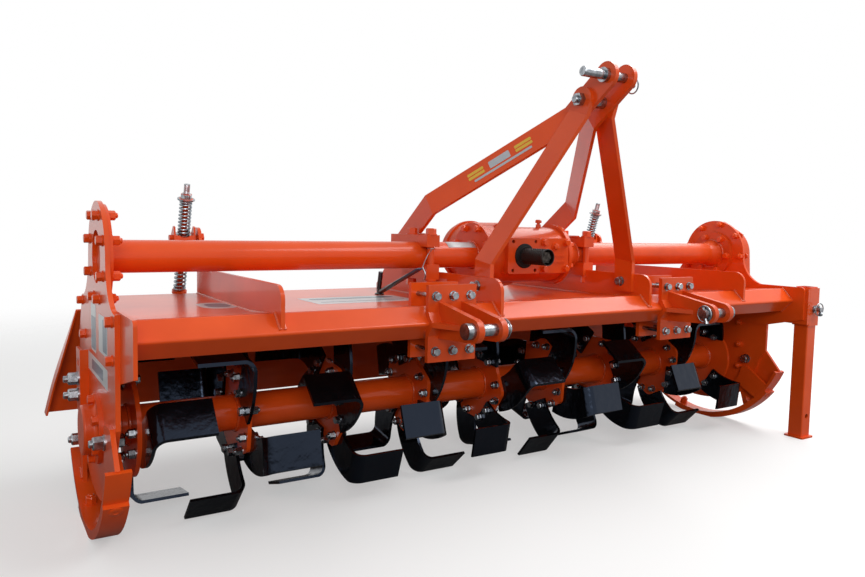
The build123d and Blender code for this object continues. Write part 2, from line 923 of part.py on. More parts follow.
clevises = []
for name, x in zip(("clevis_right", "clevis_left"), clevis_x):
    with BuildPart() as clevis:
        with BuildSketch(side(x - clevis_width / 2)):
            clevis_back()
        extrude(amount=clevis_width)
        for ear_x in (x - clevis_gap / 2 - clevis_ear, x + clevis_gap / 2):
            with BuildSketch(side(ear_x)):
                ear_outline()
                Polygon(
                    (beam_front_y - clamp_seat, 0),
                    (flat_front_y, flat_front_y - beam_front_y),
                    (flat_front_y, beam_front_y - flat_front_y),
                    align=None,
                    mode=Mode.SUBTRACT,
                )
                clevis_back()
                Circle(lower_pin_diameter / 2 + pin_clearance, mode=Mode.SUBTRACT)
            extrude(amount=clevis_ear)
        with BuildSketch(Plane.XY.offset(-clevis_web / 2)):
            for out in (-1, 1):
                Polygon(
                    (x + out * ear_out, nose_y * (1 - clevis_web_reach)),
                    (x + out * clevis_width / 2, nose_y),
                    (x + out * clevis_width / 2, nose_y + clevis_plate / 2),
                    (x + out * ear_out, nose_y + clevis_plate / 2),
                    align=None,
                )
        extrude(amount=clevis_web)
    save(clevis, name)

with BuildPart() as clevis_clamps:
    for x in clevis_x:
        with BuildSketch(Plane.XZ.offset(-clamp_rear_y)):
            with Locations((x, 0)):
                Rectangle(clevis_width, clevis_height)
        extrude(amount=clamp_plate)
save(clevis_clamps, "clevis_clamps")

with BuildPart() as lower_pins:
    for x, out in zip(clevis_x, (-1, 1)):
        with BuildSketch(side(x - out * (ear_out + lower_pin_tail))):
            Circle(lower_pin_diameter / 2)
        extrude(amount=out * (2 * ear_out + lower_pin_tail + lower_pin_head))
        with BuildSketch(side(x + out * (ear_out + clamp_seat))):
            Circle(lower_pin_head_radius)
        extrude(amount=out * lower_pin_head)
save(lower_pins, "lower_pins")

# ---- Rotor -----------------------------------------------------------------------
tube_left = flange_x[0] - rotor_flange - tube_overrun
tube_right = flange_x[-1] + rotor_flange + tube_overrun
with BuildPart() as rotor_tube:
    with BuildSketch(side(tube_left)):
        with Locations((rotor_y, rotor_z)):
            Circle(rotor_tube_diameter / 2)
            Circle(rotor_tube_diameter / 2 - rotor_tube_wall, mode=Mode.SUBTRACT)
    extrude(amount=tube_right - tube_left)
save(rotor_tube, "rotor_tube")

with BuildPart() as rotor_shafts:
    for tube_end, plate_face, out in ((tube_left, support_x, -1), (tube_right, drive_x, 1)):
        hub_end = plate_face - out * hub_gap
        cylinders = (
            (tube_end - out * shaft_plug, tube_end, rotor_tube_diameter / 2 - rotor_tube_wall),
            (tube_end, hub_end, hub_radius),
            (hub_end, plate_face + out * (plate + shaft_reach - shaft_end_gap), shaft_radius),
        )
        for x0, x1, radius in cylinders:
            with BuildSketch(side(x0)):
                with Locations((rotor_y, rotor_z)):
                    Circle(radius)
            extrude(amount=x1 - x0)
save(rotor_shafts, "rotor_shafts")

tines_per_side = 3
tine_angle = [tine_first_angle + index * flange_step for index in range(flange_count)]
lobe_turn = tine_root_turn + (tine_stagger - 180 / tines_per_side) / 2


def rotor_place(x, angle):
    """Place a piece drawn about the X axis on the rotor at x, turned by angle."""
    return Location((x, rotor_y, rotor_z)) * Location((0, 0, 0), (angle, 0, 0))


with BuildPart(mode=Mode.PRIVATE) as flange_blank:
    with BuildSketch(Plane.YZ.offset(-rotor_flange / 2)) as lobes:
        RegularPolygon(rotor_flange_radius, 2 * tines_per_side, rotation=90)
        fillet(lobes.vertices(), flange_lobe_radius)
        Circle(rotor_tube_diameter / 2, mode=Mode.SUBTRACT)
    extrude(amount=rotor_flange)

with BuildPart() as rotor_flanges:
    for x, turn in list(zip(flange_x, tine_angle))[1:-1]:
        with Locations(rotor_place(x, turn + lobe_turn)):
            add(flange_blank.part)
save(rotor_flanges, "rotor_flanges")

with BuildPart() as end_discs:
    for x in (flange_x[0], flange_x[-1]):
        with BuildSketch(side(x - rotor_flange / 2)):
            with Locations((rotor_y, rotor_z)):
                Circle(end_disc_radius)
                Circle(rotor_tube_diameter / 2, mode=Mode.SUBTRACT)
        extrude(amount=rotor_flange)
save(end_discs, "end_discs")

tine_tip_z = sqrt(tine_radius**2 - tine_lead**2)
relief_cos = cos(radians(tine_relief))
relief_sin = sin(radians(tine_relief))
tine_face = tine_tip_z * relief_cos - tine_lead * relief_sin


def tine_blank(out):
    """Tine at the top of the rotor, its blade turned out along the shaft by the sign out."""
    tilted = Plane(origin=(0, 0, 0), x_dir=(1, 0, 0), z_dir=(0, -relief_cos, relief_sin))
    with BuildPart(mode=Mode.PRIVATE) as blade:
        with BuildSketch(tilted) as bend:
            Polygon(
                (0, 0),
                (0, tine_face),
                (out * tine_reach, tine_face),
                (out * tine_reach, tine_face - tine_thickness),
                (out * tine_thickness, tine_face - tine_thickness),
                (out * tine_thickness, 0),
                align=None,
            )
            outer = Vector(0, tine_face, 0)
            inner = Vector(out * tine_thickness, tine_face - tine_thickness, 0)
            fillet(bend.vertices().sort_by_distance(outer)[0], tine_bend)
            fillet(bend.vertices().sort_by_distance(inner)[0], tine_bend - tine_thickness)
        extrude(amount=tine_radius, both=True)
        with BuildSketch(Plane.YZ):
            with BuildLine():
                rear = ThreePointArc(tine_root_trail, tine_trail_bow, tine_trail)
                front = ThreePointArc(tine_root_lead, tine_lead_bow, (-tine_lead, tine_tip_z))
                Line(front @ 0, rear @ 0)
                Line(front @ 1, rear @ 1)
            make_face()
        extrude(amount=out * (tine_reach + 1), mode=Mode.INTERSECT)
    return blade.part


for name, out, stagger in (("tines_left", 1, 0), ("tines_right", -1, tine_stagger)):
    blank = tine_blank(out)
    with BuildPart() as tines:
        for index, (x, turn) in enumerate(zip(flange_x, tine_angle)):
            if (index, out) in ((0, -1), (flange_count - 1, 1)):
                continue
            for k in range(tines_per_side):
                angle = turn + stagger + k * 360 / tines_per_side
                with Locations(rotor_place(x + out * (rotor_flange / 2), angle)):
                    add(blank)
    save(tines, name)

# ---- Skids -----------------------------------------------------------------------
skid_center = (skid_y, ground_z - wear_flat + wear_strip + skid_radius)
skid_mid_radius = skid_radius - skid_strip / 2
start_angle = radians(skid_angles[0])
skid_front = (skid_y + skid_radius * cos(start_angle), skid_center[1] + skid_radius * sin(start_angle))


def ring_arc(inner, outer, angles):
    """Part of a ring about the skid's centre in (y, z), between two angles in degrees."""
    with BuildSketch() as band:
        with BuildLine():
            far = CenterArc(skid_center, outer, angles[0], angles[1] - angles[0])
            near = CenterArc(skid_center, inner, angles[0], angles[1] - angles[0])
            Line(far @ 0, near @ 0)
            Line(far @ 1, near @ 1)
        make_face()
    return band.sketch


def skid_sole():
    """Curved sole of a skid in (y, z), with a lapped strip worn flat where it stands."""
    with BuildSketch() as sole:
        add(ring_arc(skid_radius - skid_strip, skid_radius, skid_angles))
        add(ring_arc(skid_mid_radius, skid_radius + wear_strip, wear_angles))
        with Locations((skid_y, ground_z)):
            Rectangle(2 * skid_radius, skid_radius, align=(Align.CENTER, Align.MAX), mode=Mode.SUBTRACT)
    return sole.sketch


def above_sole(corners):
    """Flat piece in (y, z), cut off at the middle of the sole and round the gear case."""
    with BuildSketch() as piece:
        Polygon(*corners, align=None)
        with Locations(skid_center):
            Circle(skid_mid_radius, mode=Mode.INTERSECT)
        with Locations((rotor_y, rotor_z)):
            Circle(case_foot_radius + case_rim_width + skid_case_gap, mode=Mode.SUBTRACT)
    return piece.sketch


bar_corners = (
    (skid_bar_front_y, skid_bar_top_z),
    (skid_bar_front_y, ground_z),
    (skid_bar_rear_y, ground_z),
    (skid_bar_rear_y, skid_bar_top_z),
)
for name, plate_in, out in (("skid_support", support_x, -1), ("skid_drive", drive_x, 1)):
    with BuildPart() as skid:
        with BuildSketch(side(plate_in - out * skid_in)):
            add(skid_sole())
        extrude(amount=out * (skid_in + plate + skid_out))
        with BuildSketch(side(plate_in + out * plate)):
            add(above_sole((skid_front, *skid_front_web)))
            add(above_sole(bar_corners))
        extrude(amount=out * skid_web)
        with BuildSketch(side(plate_in)):
            add(above_sole(skid_gusset))
        extrude(amount=-out * skid_web)
    save(skid, name)

# ---- Parking stand ---------------------------------------------------------------
stand_x = drive_out + sleeve_side / 2
with BuildPart() as stand_sleeve:
    with BuildSketch(Plane.XY.offset(sleeve_bottom_z)) as sleeve_sketch:
        with Locations((stand_x, stand_y)):
            Rectangle(sleeve_side, sleeve_side)
            fillet(sleeve_sketch.vertices(), tube_corner)
            Rectangle(sleeve_side - 2 * sleeve_wall, sleeve_side - 2 * sleeve_wall, mode=Mode.SUBTRACT)
    extrude(amount=sleeve_top_z - sleeve_bottom_z)
    with BuildSketch(Plane.XZ.offset(sleeve_side / 2 - stand_y)):
        with Locations((stand_x, stand_pin_z)):
            Circle(stand_pin_diameter / 2 + running)
    extrude(amount=-sleeve_wall, mode=Mode.SUBTRACT)
save(stand_sleeve, "stand_sleeve")

with BuildPart() as stand_leg:
    with BuildSketch(Plane.XY.offset(ground_z + foot_plate)) as leg_sketch:
        with Locations((stand_x, stand_y)):
            Rectangle(leg_side, leg_side)
            fillet(leg_sketch.vertices(), tube_corner)
            Rectangle(leg_side - 2 * leg_wall, leg_side - 2 * leg_wall, mode=Mode.SUBTRACT)
    extrude(amount=sleeve_top_z + leg_proud - ground_z - foot_plate)
    with BuildSketch(Plane.XY.offset(ground_z)) as foot_sketch:
        with Locations((stand_x, stand_y)):
            Rectangle(foot_side, foot_side)
        fillet(foot_sketch.vertices(), foot_corner)
    extrude(amount=foot_plate)
    for z in (stand_pin_z, stand_pin_z - stand_travel):
        with BuildSketch(Plane.XZ.offset(leg_side / 2 - stand_y)):
            with Locations((stand_x, z)):
                Circle(stand_pin_diameter / 2 + pin_clearance)
        extrude(amount=-leg_wall, mode=Mode.SUBTRACT)
save(stand_leg, "stand_leg")

with BuildPart() as stand_pin:
    with BuildSketch(Plane.XZ.offset(leg_side / 2 + stand_gap - stand_y)):
        with Locations((stand_x, stand_pin_z)):
            Circle(stand_pin_diameter / 2)
    extrude(amount=sleeve_wall + stand_pin_out)
    with BuildSketch(Plane.XZ.offset(sleeve_side / 2 - stand_y)):
        with Locations((stand_x, stand_pin_z)):
            Circle(stand_collar_diameter / 2)
    extrude(amount=stand_collar)
save(stand_pin, "stand_pin")

# ---- Trailing board --------------------------------------------------------------
board_tilt = radians(board_angle)
knee_y = hinge_y + board_run * cos(board_tilt)
knee_z = hinge_z - board_run * sin(board_tilt)
curve_y = knee_y - board_radius * sin(board_tilt)
curve_z = knee_z - board_radius * cos(board_tilt)
curve_end_y = curve_y + board_radius
board_end_z = curve_z - board_end
board_start_y = hinge_y + knuckle_radius * cos(board_tilt)
board_start_z = hinge_z - knuckle_radius * sin(board_tilt)


def board_profile():
    """Trailing board in (y, z): a straight slope, a curve to the vertical and a straight hem."""
    outer = board_radius + board_sheet
    bend = 90 - board_angle
    skin = (board_sheet * sin(board_tilt), board_sheet * cos(board_tilt))
    with BuildSketch() as profile:
        with BuildLine():
            slope = Line((board_start_y, board_start_z), (knee_y, knee_z))
            curve = CenterArc((curve_y, curve_z), board_radius, bend, -bend)
            hem = Line(curve @ 1, (curve_end_y, board_end_z))
            foot = Line(hem @ 1, (curve_end_y + board_sheet, board_end_z))
            back = Line(foot @ 1, (curve_end_y + board_sheet, curve_z))
            bow = CenterArc((curve_y, curve_z), outer, 0, bend)
            top = Line(bow @ 1, (board_start_y + skin[0], board_start_z + skin[1]))
            Line(top @ 1, slope @ 0)
        make_face()
    return profile.sketch


def rim_outline():
    """End rim of the board in (y, z), as deep as the rim and following the board's curve."""
    with BuildSketch() as rim:
        with Locations((curve_y, curve_z)):
            Circle(board_radius)
            Circle(board_radius - board_rim, mode=Mode.SUBTRACT)
        Polygon(
            (curve_y, curve_z),
            (curve_y + 2 * board_radius, curve_z),
            (curve_y + 2 * board_radius * sin(board_tilt), curve_z + 2 * board_radius * cos(board_tilt)),
            align=None,
            mode=Mode.INTERSECT,
        )
        Polygon(
            (curve_end_y, curve_z),
            (curve_end_y, board_end_z),
            (curve_end_y - board_rim, board_end_z),
            (curve_end_y - board_rim, curve_z),
            align=None,
        )
        Polygon(
            (board_start_y, board_start_z),
            (knee_y, knee_z),
            (knee_y - board_rim * sin(board_tilt), knee_z - board_rim * cos(board_tilt)),
            (board_start_y, board_start_z - rim_start),
            align=None,
        )
    return rim.sketch


def board_point(along, out):
    """Point in (y, z) on the board's slope, along it from the hinge and out from its inner face."""
    y = hinge_y + along * cos(board_tilt) + out * sin(board_tilt)
    z = hinge_z - along * sin(board_tilt) + out * cos(board_tilt)
    return (y, z)


board_length = drive_out - support_out + 2 * board_overhang
board_ends = ((support_out, -1), (drive_out, 1))
with BuildPart() as board_rims:
    with BuildSketch(side(support_out - board_overhang)):
        add(rim_outline())
    extrude(amount=board_length)
    with BuildSketch(Plane.XZ.offset(-hinge_y)):
        for inner_x, sign in board_ends:
            Polygon(
                (inner_x, hinge_z),
                (inner_x + sign * board_overhang, board_end_z),
                (inner_x + sign * (board_overhang - board_sheet), board_end_z),
                (inner_x - sign * board_sheet, hinge_z),
                align=None,
            )
    extrude(amount=-2 * board_radius, mode=Mode.INTERSECT)

with BuildPart() as trailing_board:
    with BuildSketch(side(support_out - board_overhang)):
        add(board_profile())
    extrude(amount=board_length)
    with BuildSketch(Plane.XZ.offset(-hinge_y)):
        for inner_x, sign in board_ends:
            Polygon(
                (inner_x, hinge_z),
                (inner_x + sign * board_overhang * 2, hinge_z),
                (inner_x + sign * board_overhang * 2, board_end_z),
                (inner_x + sign * board_overhang, board_end_z),
                align=None,
            )
    extrude(amount=-2 * board_radius, mode=Mode.SUBTRACT)
    add(board_rims.part)
    for x in hinge_x:
        with BuildSketch(side(x - knuckle_length / 2 + knuckle_gap / 2)):
            with Locations((hinge_y, hinge_z)):
                Circle(knuckle_radius)
            Polygon(
                (board_start_y, board_start_z),
                (board_start_y + board_sheet, board_start_z + board_sheet / 2),
                (hinge_y + knuckle_radius * sin(board_tilt), hinge_z + knuckle_radius * cos(board_tilt)),
                (hinge_y - knuckle_radius * sin(board_tilt), hinge_z - knuckle_radius * cos(board_tilt)),
                align=None,
            )
            with Locations((hinge_y, hinge_z)):
                Circle(hinge_pin_diameter / 2 + running, mode=Mode.SUBTRACT)
        extrude(amount=knuckle_length - knuckle_gap)
    for rib_x in rib_outer_x:
        for shift in (-1, 1):
            lug_x = rib_x - rod_offset + shift * (rod_eye_width / 2 + lug_gap + lug_plate / 2)
            with BuildSketch(side(lug_x - lug_plate / 2)):
                with Locations((rod_eye_y, rod_eye_z)):
                    Circle(eye_radius)
                Polygon(
                    board_point(lug_start, board_sheet / 2),
                    board_point(lug_end, board_sheet / 2),
                    (rod_eye_y + eye_radius * cos(board_tilt), rod_eye_z - eye_radius * sin(board_tilt)),
                    (rod_eye_y - eye_radius * cos(board_tilt), rod_eye_z + eye_radius * sin(board_tilt)),
                    align=None,
                )
            extrude(amount=lug_plate)
        pin_half = rod_eye_width / 2 + lug_plate + rod_pin_out
        with BuildSketch(side(rib_x - rod_offset - pin_half)):
            with Locations((rod_eye_y, rod_eye_z)):
                Circle(rod_pin_radius)
        extrude(amount=2 * pin_half)
save(trailing_board, "trailing_board")

# ---- Spring rods and their yokes -------------------------------------------------
rod_run_y = yoke_y - rod_eye_y
rod_run_z = yoke_z - rod_eye_z
rod_span = hypot(rod_run_y, rod_run_z)
rod_length = rod_span * (rod_top_z - rod_eye_z) / rod_run_z
rod_direction = Vector(0, rod_run_y, rod_run_z)
rod_square = Vector(0, -rod_run_z, rod_run_y)
collar_top = rod_span - yoke_half_height - lower_spring
upper_end = rod_span + yoke_half_height + upper_spring
rod_sides = (("right", rib_outer_x[0]), ("left", rib_outer_x[1]))


def rod_plane(x, distance):
    """Plane square to a spring rod at x, at a distance up from its lower eye."""
    base = Plane(origin=(x, rod_eye_y, rod_eye_z), x_dir=(1, 0, 0), z_dir=rod_direction)
    return base.offset(distance)


for name, rib_x in rod_sides:
    x = rib_x - rod_offset
    with BuildPart() as spring_rod:
        with BuildSketch(side(x - rod_eye_width / 2)):
            with Locations((rod_eye_y, rod_eye_z)):
                Circle(eye_radius)
        extrude(amount=rod_eye_width)
        rounds = (
            (eye_radius / 2, rod_length, rod_diameter / 2),
            (collar_top - rod_collar_height, collar_top, rod_collar),
            (upper_end, upper_end + rod_washer, rod_washer_radius),
        )
        for start, end, radius in rounds:
            with BuildSketch(rod_plane(x, start)):
                Circle(radius)
            extrude(amount=end - start)
        with BuildSketch(rod_plane(x, upper_end + rod_washer)):
            RegularPolygon(rod_nut_across / 2, 6, major_radius=False)
        extrude(amount=rod_nut)
        with BuildSketch(side(x - rod_eye_width / 2)):
            with Locations((rod_eye_y, rod_eye_z)):
                Circle(rod_pin_radius + running)
        extrude(amount=rod_eye_width, mode=Mode.SUBTRACT)
    save(spring_rod, f"spring_rod_{name}")

    with BuildPart() as yoke:
        with BuildSketch(Plane(origin=(x, yoke_y, yoke_z), x_dir=(1, 0, 0), z_dir=rod_square)):
            Polygon(
                (-yoke_half, yoke_ear),
                (-yoke_half, 0),
                (-yoke_foot, -yoke_half_height),
                (yoke_foot, -yoke_half_height),
                (yoke_half, 0),
                (yoke_half, yoke_ear),
                (yoke_half - yoke_ear_plate, yoke_ear),
                (yoke_half - yoke_ear_plate, yoke_half_height),
                (yoke_ear_plate - yoke_half, yoke_half_height),
                (yoke_ear_plate - yoke_half, yoke_ear),
                align=None,
            )
        extrude(amount=yoke_depth / 2, both=True)
        with BuildSketch(Plane(origin=(x, yoke_y, yoke_z), x_dir=-rod_square, z_dir=(1, 0, 0))) as ear:
            Polygon(
                (-yoke_depth / 2, -yoke_half_height),
                (yoke_depth / 2, -yoke_half_height),
                (yoke_depth / 2, 0),
                (yoke_ear_plate, yoke_ear),
                (-yoke_ear_plate, yoke_ear),
                (-yoke_depth / 2, 0),
                align=None,
            )
        extrude(amount=yoke_half, both=True, mode=Mode.INTERSECT)
        with BuildSketch(rod_plane(x, rod_span - yoke_half_height)):
            Circle(rod_diameter / 2 + rod_seat)
        extrude(amount=2 * yoke_half_height, mode=Mode.SUBTRACT)
        stub_end = rib_x + rib_plate / 2 + yoke_nut
        stubs = (
            (x - yoke_half - yoke_pin_out, x - yoke_half + yoke_ear_plate),
            (x + yoke_half - yoke_ear_plate, stub_end),
        )
        for x0, x1 in stubs:
            with BuildSketch(side(x0)):
                with Locations((yoke_y, yoke_z)):
                    Circle(rod_pin_radius)
            extrude(amount=x1 - x0)
        with BuildSketch(side(stub_end - yoke_nut + clamp_seat)):
            with Locations((yoke_y, yoke_z)):
                RegularPolygon(rod_nut_across / 2, 6, major_radius=False)
        extrude(amount=yoke_nut)
    save(yoke, f"yoke_{name}")

    with BuildPart() as upper:
        with BuildSketch(rod_plane(x, rod_span + yoke_half_height + spring_gap)):
            Circle(spring_radius + spring_wire / 2)
            Circle(spring_radius - spring_wire / 2, mode=Mode.SUBTRACT)
        extrude(amount=upper_spring - spring_gap)
    save(upper, f"upper_spring_{name}")

    with BuildPart() as lower:
        with BuildSketch(rod_plane(x, collar_top)):
            Circle(spring_radius + spring_wire / 2)
            Circle(spring_radius - spring_wire / 2, mode=Mode.SUBTRACT)
        extrude(amount=lower_spring - spring_gap)
    save(lower, f"lower_spring_{name}")

# ---- Rest hook for the drive shaft ------------------------------------------------
with BuildPart() as rest_hook:
    with BuildSketch(Plane.XZ.offset(-rest_front[0])):
        with Locations((rest_x, rest_front[1])):
            Circle(rest_diameter / 2)
    with BuildLine() as rest_line:
        FilletPolyline(
            (rest_x, *rest_front),
            (rest_x, *rest_rear),
            (rest_x, *rest_tip),
            radius=rest_diameter,
        )
    sweep(path=rest_line.wires()[0], transition=Transition.RIGHT)
    with BuildSketch(Plane.XY.offset(deck_z)):
        with Locations((rest_x, rest_rear[0] - rest_diameter / 2)):
            Circle(rest_diameter)
    extrude(amount=rest_rear[1] + rest_diameter - deck_z)
save(rest_hook, "rest_hook")
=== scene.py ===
"""Looks of a tractor-mounted rotary tiller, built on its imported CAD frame.

Shapes are worked out in millimetres, in the frame's own axes: +X is the machine's left, -Y points
to the tractor and +Z is up. add_piece() turns them into metres.
"""
import json

import bpy
import numpy as np
from mathutils import Euler, Matrix, Vector


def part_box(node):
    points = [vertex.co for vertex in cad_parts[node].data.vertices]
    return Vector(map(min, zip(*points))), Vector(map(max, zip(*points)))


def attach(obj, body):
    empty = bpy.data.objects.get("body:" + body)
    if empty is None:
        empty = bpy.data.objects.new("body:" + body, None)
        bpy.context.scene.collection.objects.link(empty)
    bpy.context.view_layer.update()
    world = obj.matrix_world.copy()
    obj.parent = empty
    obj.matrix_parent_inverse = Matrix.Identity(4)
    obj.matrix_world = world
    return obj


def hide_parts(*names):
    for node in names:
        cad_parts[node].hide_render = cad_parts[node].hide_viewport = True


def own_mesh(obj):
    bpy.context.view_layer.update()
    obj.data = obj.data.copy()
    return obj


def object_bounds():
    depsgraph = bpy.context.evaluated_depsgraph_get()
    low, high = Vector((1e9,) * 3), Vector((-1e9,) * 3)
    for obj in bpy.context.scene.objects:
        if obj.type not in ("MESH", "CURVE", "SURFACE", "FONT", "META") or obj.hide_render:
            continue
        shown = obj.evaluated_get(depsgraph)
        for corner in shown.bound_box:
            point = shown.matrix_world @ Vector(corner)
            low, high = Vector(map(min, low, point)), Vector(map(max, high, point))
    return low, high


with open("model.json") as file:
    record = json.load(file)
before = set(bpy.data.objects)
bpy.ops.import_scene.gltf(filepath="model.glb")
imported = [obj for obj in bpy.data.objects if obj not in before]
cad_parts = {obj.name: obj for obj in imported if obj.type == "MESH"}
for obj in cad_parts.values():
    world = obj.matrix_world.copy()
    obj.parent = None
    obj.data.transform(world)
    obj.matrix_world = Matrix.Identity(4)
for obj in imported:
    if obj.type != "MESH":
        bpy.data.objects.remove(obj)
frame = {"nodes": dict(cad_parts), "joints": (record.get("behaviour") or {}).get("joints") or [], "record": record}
cad_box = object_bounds()
nodes = frame["nodes"]
joints = {joint["name"]: joint for joint in frame["joints"]}

MM = 0.001
X, Y, Z = np.eye(3)
rng = np.random.default_rng(7)


# ---- Shapes: a shape is its points and a list of face arrays -----------------------
def unit(vectors):
    """Each vector divided by its length."""
    vectors = np.asarray(vectors, float)
    return vectors / np.linalg.norm(vectors, axis=-1, keepdims=True)


def grid_quads(rows, columns, wrap_rows=False, wrap_columns=True):
    """Quads of a grid of points: (i, j), (i, j+1), (i+1, j+1), (i+1, j), joined round where it wraps."""
    i = np.arange(rows if wrap_rows else rows - 1)[:, None]
    j = np.arange(columns if wrap_columns else columns - 1)[None, :]
    next_i, next_j = (i + 1) % rows, (j + 1) % columns
    corners = (i * columns + j, i * columns + next_j, next_i * columns + next_j, next_i * columns + j)
    return np.stack(corners, axis=-1).reshape(-1, 4)


def outward(points, groups):
    """Turns the faces outwards: if their fans enclose a negative volume, every face is reversed."""
    volume = sum(
        np.sum(points[g[:, :1]] * np.cross(points[g[:, 1:-1]], points[g[:, 2:]])) for g in groups
    )
    return points, [g if volume > 0 else g[:, ::-1] for g in groups]


def capped(rings, closed=False):
    """Skin through rings of points, shaped (rings, sides, 3), with a flat cap at each open end."""
    count, sides = rings.shape[:2]
    groups = [grid_quads(count, sides, wrap_rows=closed)]
    if not closed:
        first = np.arange(sides)[None]
        groups += [first[:, ::-1], first + (count - 1) * sides]
    return outward(rings.reshape(-1, 3), groups)


def turned(rows, sides=24):
    """Solid turned about Z. A row is (radius, height, hexagonal): on a hexagonal ring the distance
    from the axis is radius / cos(angle from the middle of the nearest flat)."""
    rows = np.array(rows, float)
    around = np.linspace(0, 2 * np.pi, sides, endpoint=False)
    flat = np.cos(np.mod(around, np.pi / 3) - np.pi / 6)
    reach = rows[:, :1] / np.where(rows[:, 2:] > 0, flat, 1)
    height = np.broadcast_to(rows[:, 1:2], reach.shape)
    return capped(np.stack([reach * np.cos(around), reach * np.sin(around), height], axis=-1))


def bar(path, up, radii, sides=10, closed=False):
    """Bar along a path: at each point an oval stands square to the path, its half width beside the
    path and its half height towards up. radii is one number, one per point, or pairs of the two."""
    path = np.asarray(path, float)
    run = np.roll(path, -1, 0) - np.roll(path, 1, 0) if closed else np.gradient(path, axis=0)
    beside = unit(np.cross(run, up))
    rise = unit(np.cross(beside, run))
    radii = np.asarray(radii, float)
    radii = radii[:, None] if radii.shape == (len(path),) else radii
    radii = np.broadcast_to(radii, (len(path), 2))[:, None]
    around = np.linspace(0, 2 * np.pi, sides, endpoint=False)[:, None]
    across = radii[..., :1] * np.cos(around) * beside[:, None]
    return capped(path[:, None] + across + radii[..., 1:] * np.sin(around) * rise[:, None], closed)


def slab(outline, thickness):
    """Flat plate: the outline at height 0 and again at its thickness, with walls between."""
    flat = np.column_stack([outline, np.zeros(len(outline))])
    return capped(np.stack([flat, flat + (0, 0, thickness)]))


def rounded(width, height, radius, steps=5):
    """Outline of a rectangle with round corners: in each quarter, corner centre + radius * (cos, sin)."""
    angle = (np.arange(4)[:, None] * 90 + np.linspace(0, 90, steps)[None]) * np.pi / 180
    quarter = angle[:, :1] + np.pi / 4
    centre_x = np.sign(np.cos(quarter)) * (width / 2 - radius)
    centre_y = np.sign(np.sin(quarter)) * (height / 2 - radius)
    rim_x, rim_y = centre_x + radius * np.cos(angle), centre_y + radius * np.sin(angle)
    return np.column_stack([rim_x.ravel(), rim_y.ravel()])


def copies(shape, centres, direction, spin=None):
    """Copies of a shape, its foot at each centre and its Z axis along direction, each turned by spin
    about that axis: point = centre + turn matrix @ point."""
    points, groups = shape
    centres = np.atleast_2d(centres).astype(float)
    count = len(centres)
    spin = rng.uniform(0, np.pi / 3, count) if spin is None else np.full(count, spin)
    aim = unit(np.broadcast_to(direction, centres.shape))
    level = np.where(np.abs(aim[:, 2:]) < 0.9, Z, Y)
    first = unit(np.cross(level, aim))
    second = np.cross(aim, first)
    turned_first = np.cos(spin)[:, None] * first + np.sin(spin)[:, None] * second
    turn = np.stack([turned_first, np.cross(aim, turned_first), aim], axis=-1)
    placed = centres[:, None] + np.einsum("nij,mj->nmi", turn, points)
    shift = (np.arange(count) * len(points))[:, None, None]
    return placed.reshape(-1, 3), [(g[None] + shift).reshape(-1, g.shape[1]) for g in groups]


def joined(shapes):
    """One shape from several: their points stacked, and each one's faces shifted past those before."""
    starts = np.cumsum([0] + [len(points) for points, _ in shapes])
    groups = [group + start for (_, faces), start in zip(shapes, starts) for group in faces]
    return np.concatenate([points for points, _ in shapes]), groups


def add_piece(name, shapes, body, material, crease=32):
    """New piece from shapes in millimetres, smooth but for edges sharper than crease degrees."""
    points, groups = joined(shapes)
    mesh = bpy.data.meshes.new(name)
    mesh.from_pydata((points * MM).tolist(), [], [face for group in groups for face in group.tolist()])
    mesh.shade_smooth()
    mesh.set_sharp_from_angle(angle=np.radians(crease))
    mesh.materials.append(material)
    piece = bpy.data.objects.new(name, mesh)
    bpy.context.collection.objects.link(piece)
    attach(piece, body)
    return piece


def corners(node):
    """Lowest and highest corner of a CAD node at rest, in millimetres."""
    return tuple(np.array(corner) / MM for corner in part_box(node))


# ---- Places read from the frame -----------------------------------------------------
support_in = corners("support_plate")[1][0]
drive_in, drive_out = corners("drive_plate")[0][0], corners("drive_plate")[1][0]
plate = drive_out - drive_in
support_out = support_in - plate
axle = sum(corners("axle_tube_support"))[1:] / 2
rotor = sum(corners("rotor_tube"))[1:] / 2
beam_y = sum(corners("front_beam"))[1] / 2
beam_front = corners("front_beam")[0][1]
deck_z = corners("rest_hook")[0][2]
rib_plate = 9
rib_x = np.array([
    corners("ribs")[0][0] + rib_plate / 2,
    corners("mast_bar_right")[0][0] - rib_plate / 2,
    corners("mast_bar_left")[1][0] + rib_plate / 2,
    corners("ribs")[1][0] - rib_plate / 2,
])
axle_radius = 38


def ring(x, centre, radius, count, first=0.0):
    """Points evenly round a circle about an axis along X; first is in degrees from -Y towards +Z."""
    angle = np.radians(first) + np.arange(count) * 2 * np.pi / count
    return np.column_stack(
        [np.full(count, x), centre[0] - radius * np.cos(angle), centre[1] + radius * np.sin(angle)]
    )


def circle_path(x, centre, radius, spacing):
    """Closed circular path about an axis along X, with a point about every spacing."""
    return ring(x, centre, radius, int(2 * np.pi * radius / spacing))


# ---- Colours and nodes -----------------------------------------------------------
def hex_colour(code):
    """Linear colour of an sRGB hex code: each channel undoes the sRGB curve."""
    channels = np.array([int(code[i:i + 2], 16) for i in (1, 3, 5)]) / 255
    low, high = channels / 12.92, ((channels + 0.055) / 1.055) ** 2.4
    return (*np.where(channels <= 0.04045, low, high).tolist(), 1.0)


def add_node(tree, kind, settings=None, links=None, **inputs):
    """Add a node of a kind, with attribute settings, input values and {input: output socket} links."""
    node = tree.nodes.new("ShaderNode" + kind)
    for name, value in (settings or {}).items():
        setattr(node, name, value)
    for name, value in inputs.items():
        node.inputs[name.replace("_", " ")].default_value = value
    for name, socket in (links or {}).items():
        tree.links.new(socket, node.inputs[name])
    return node


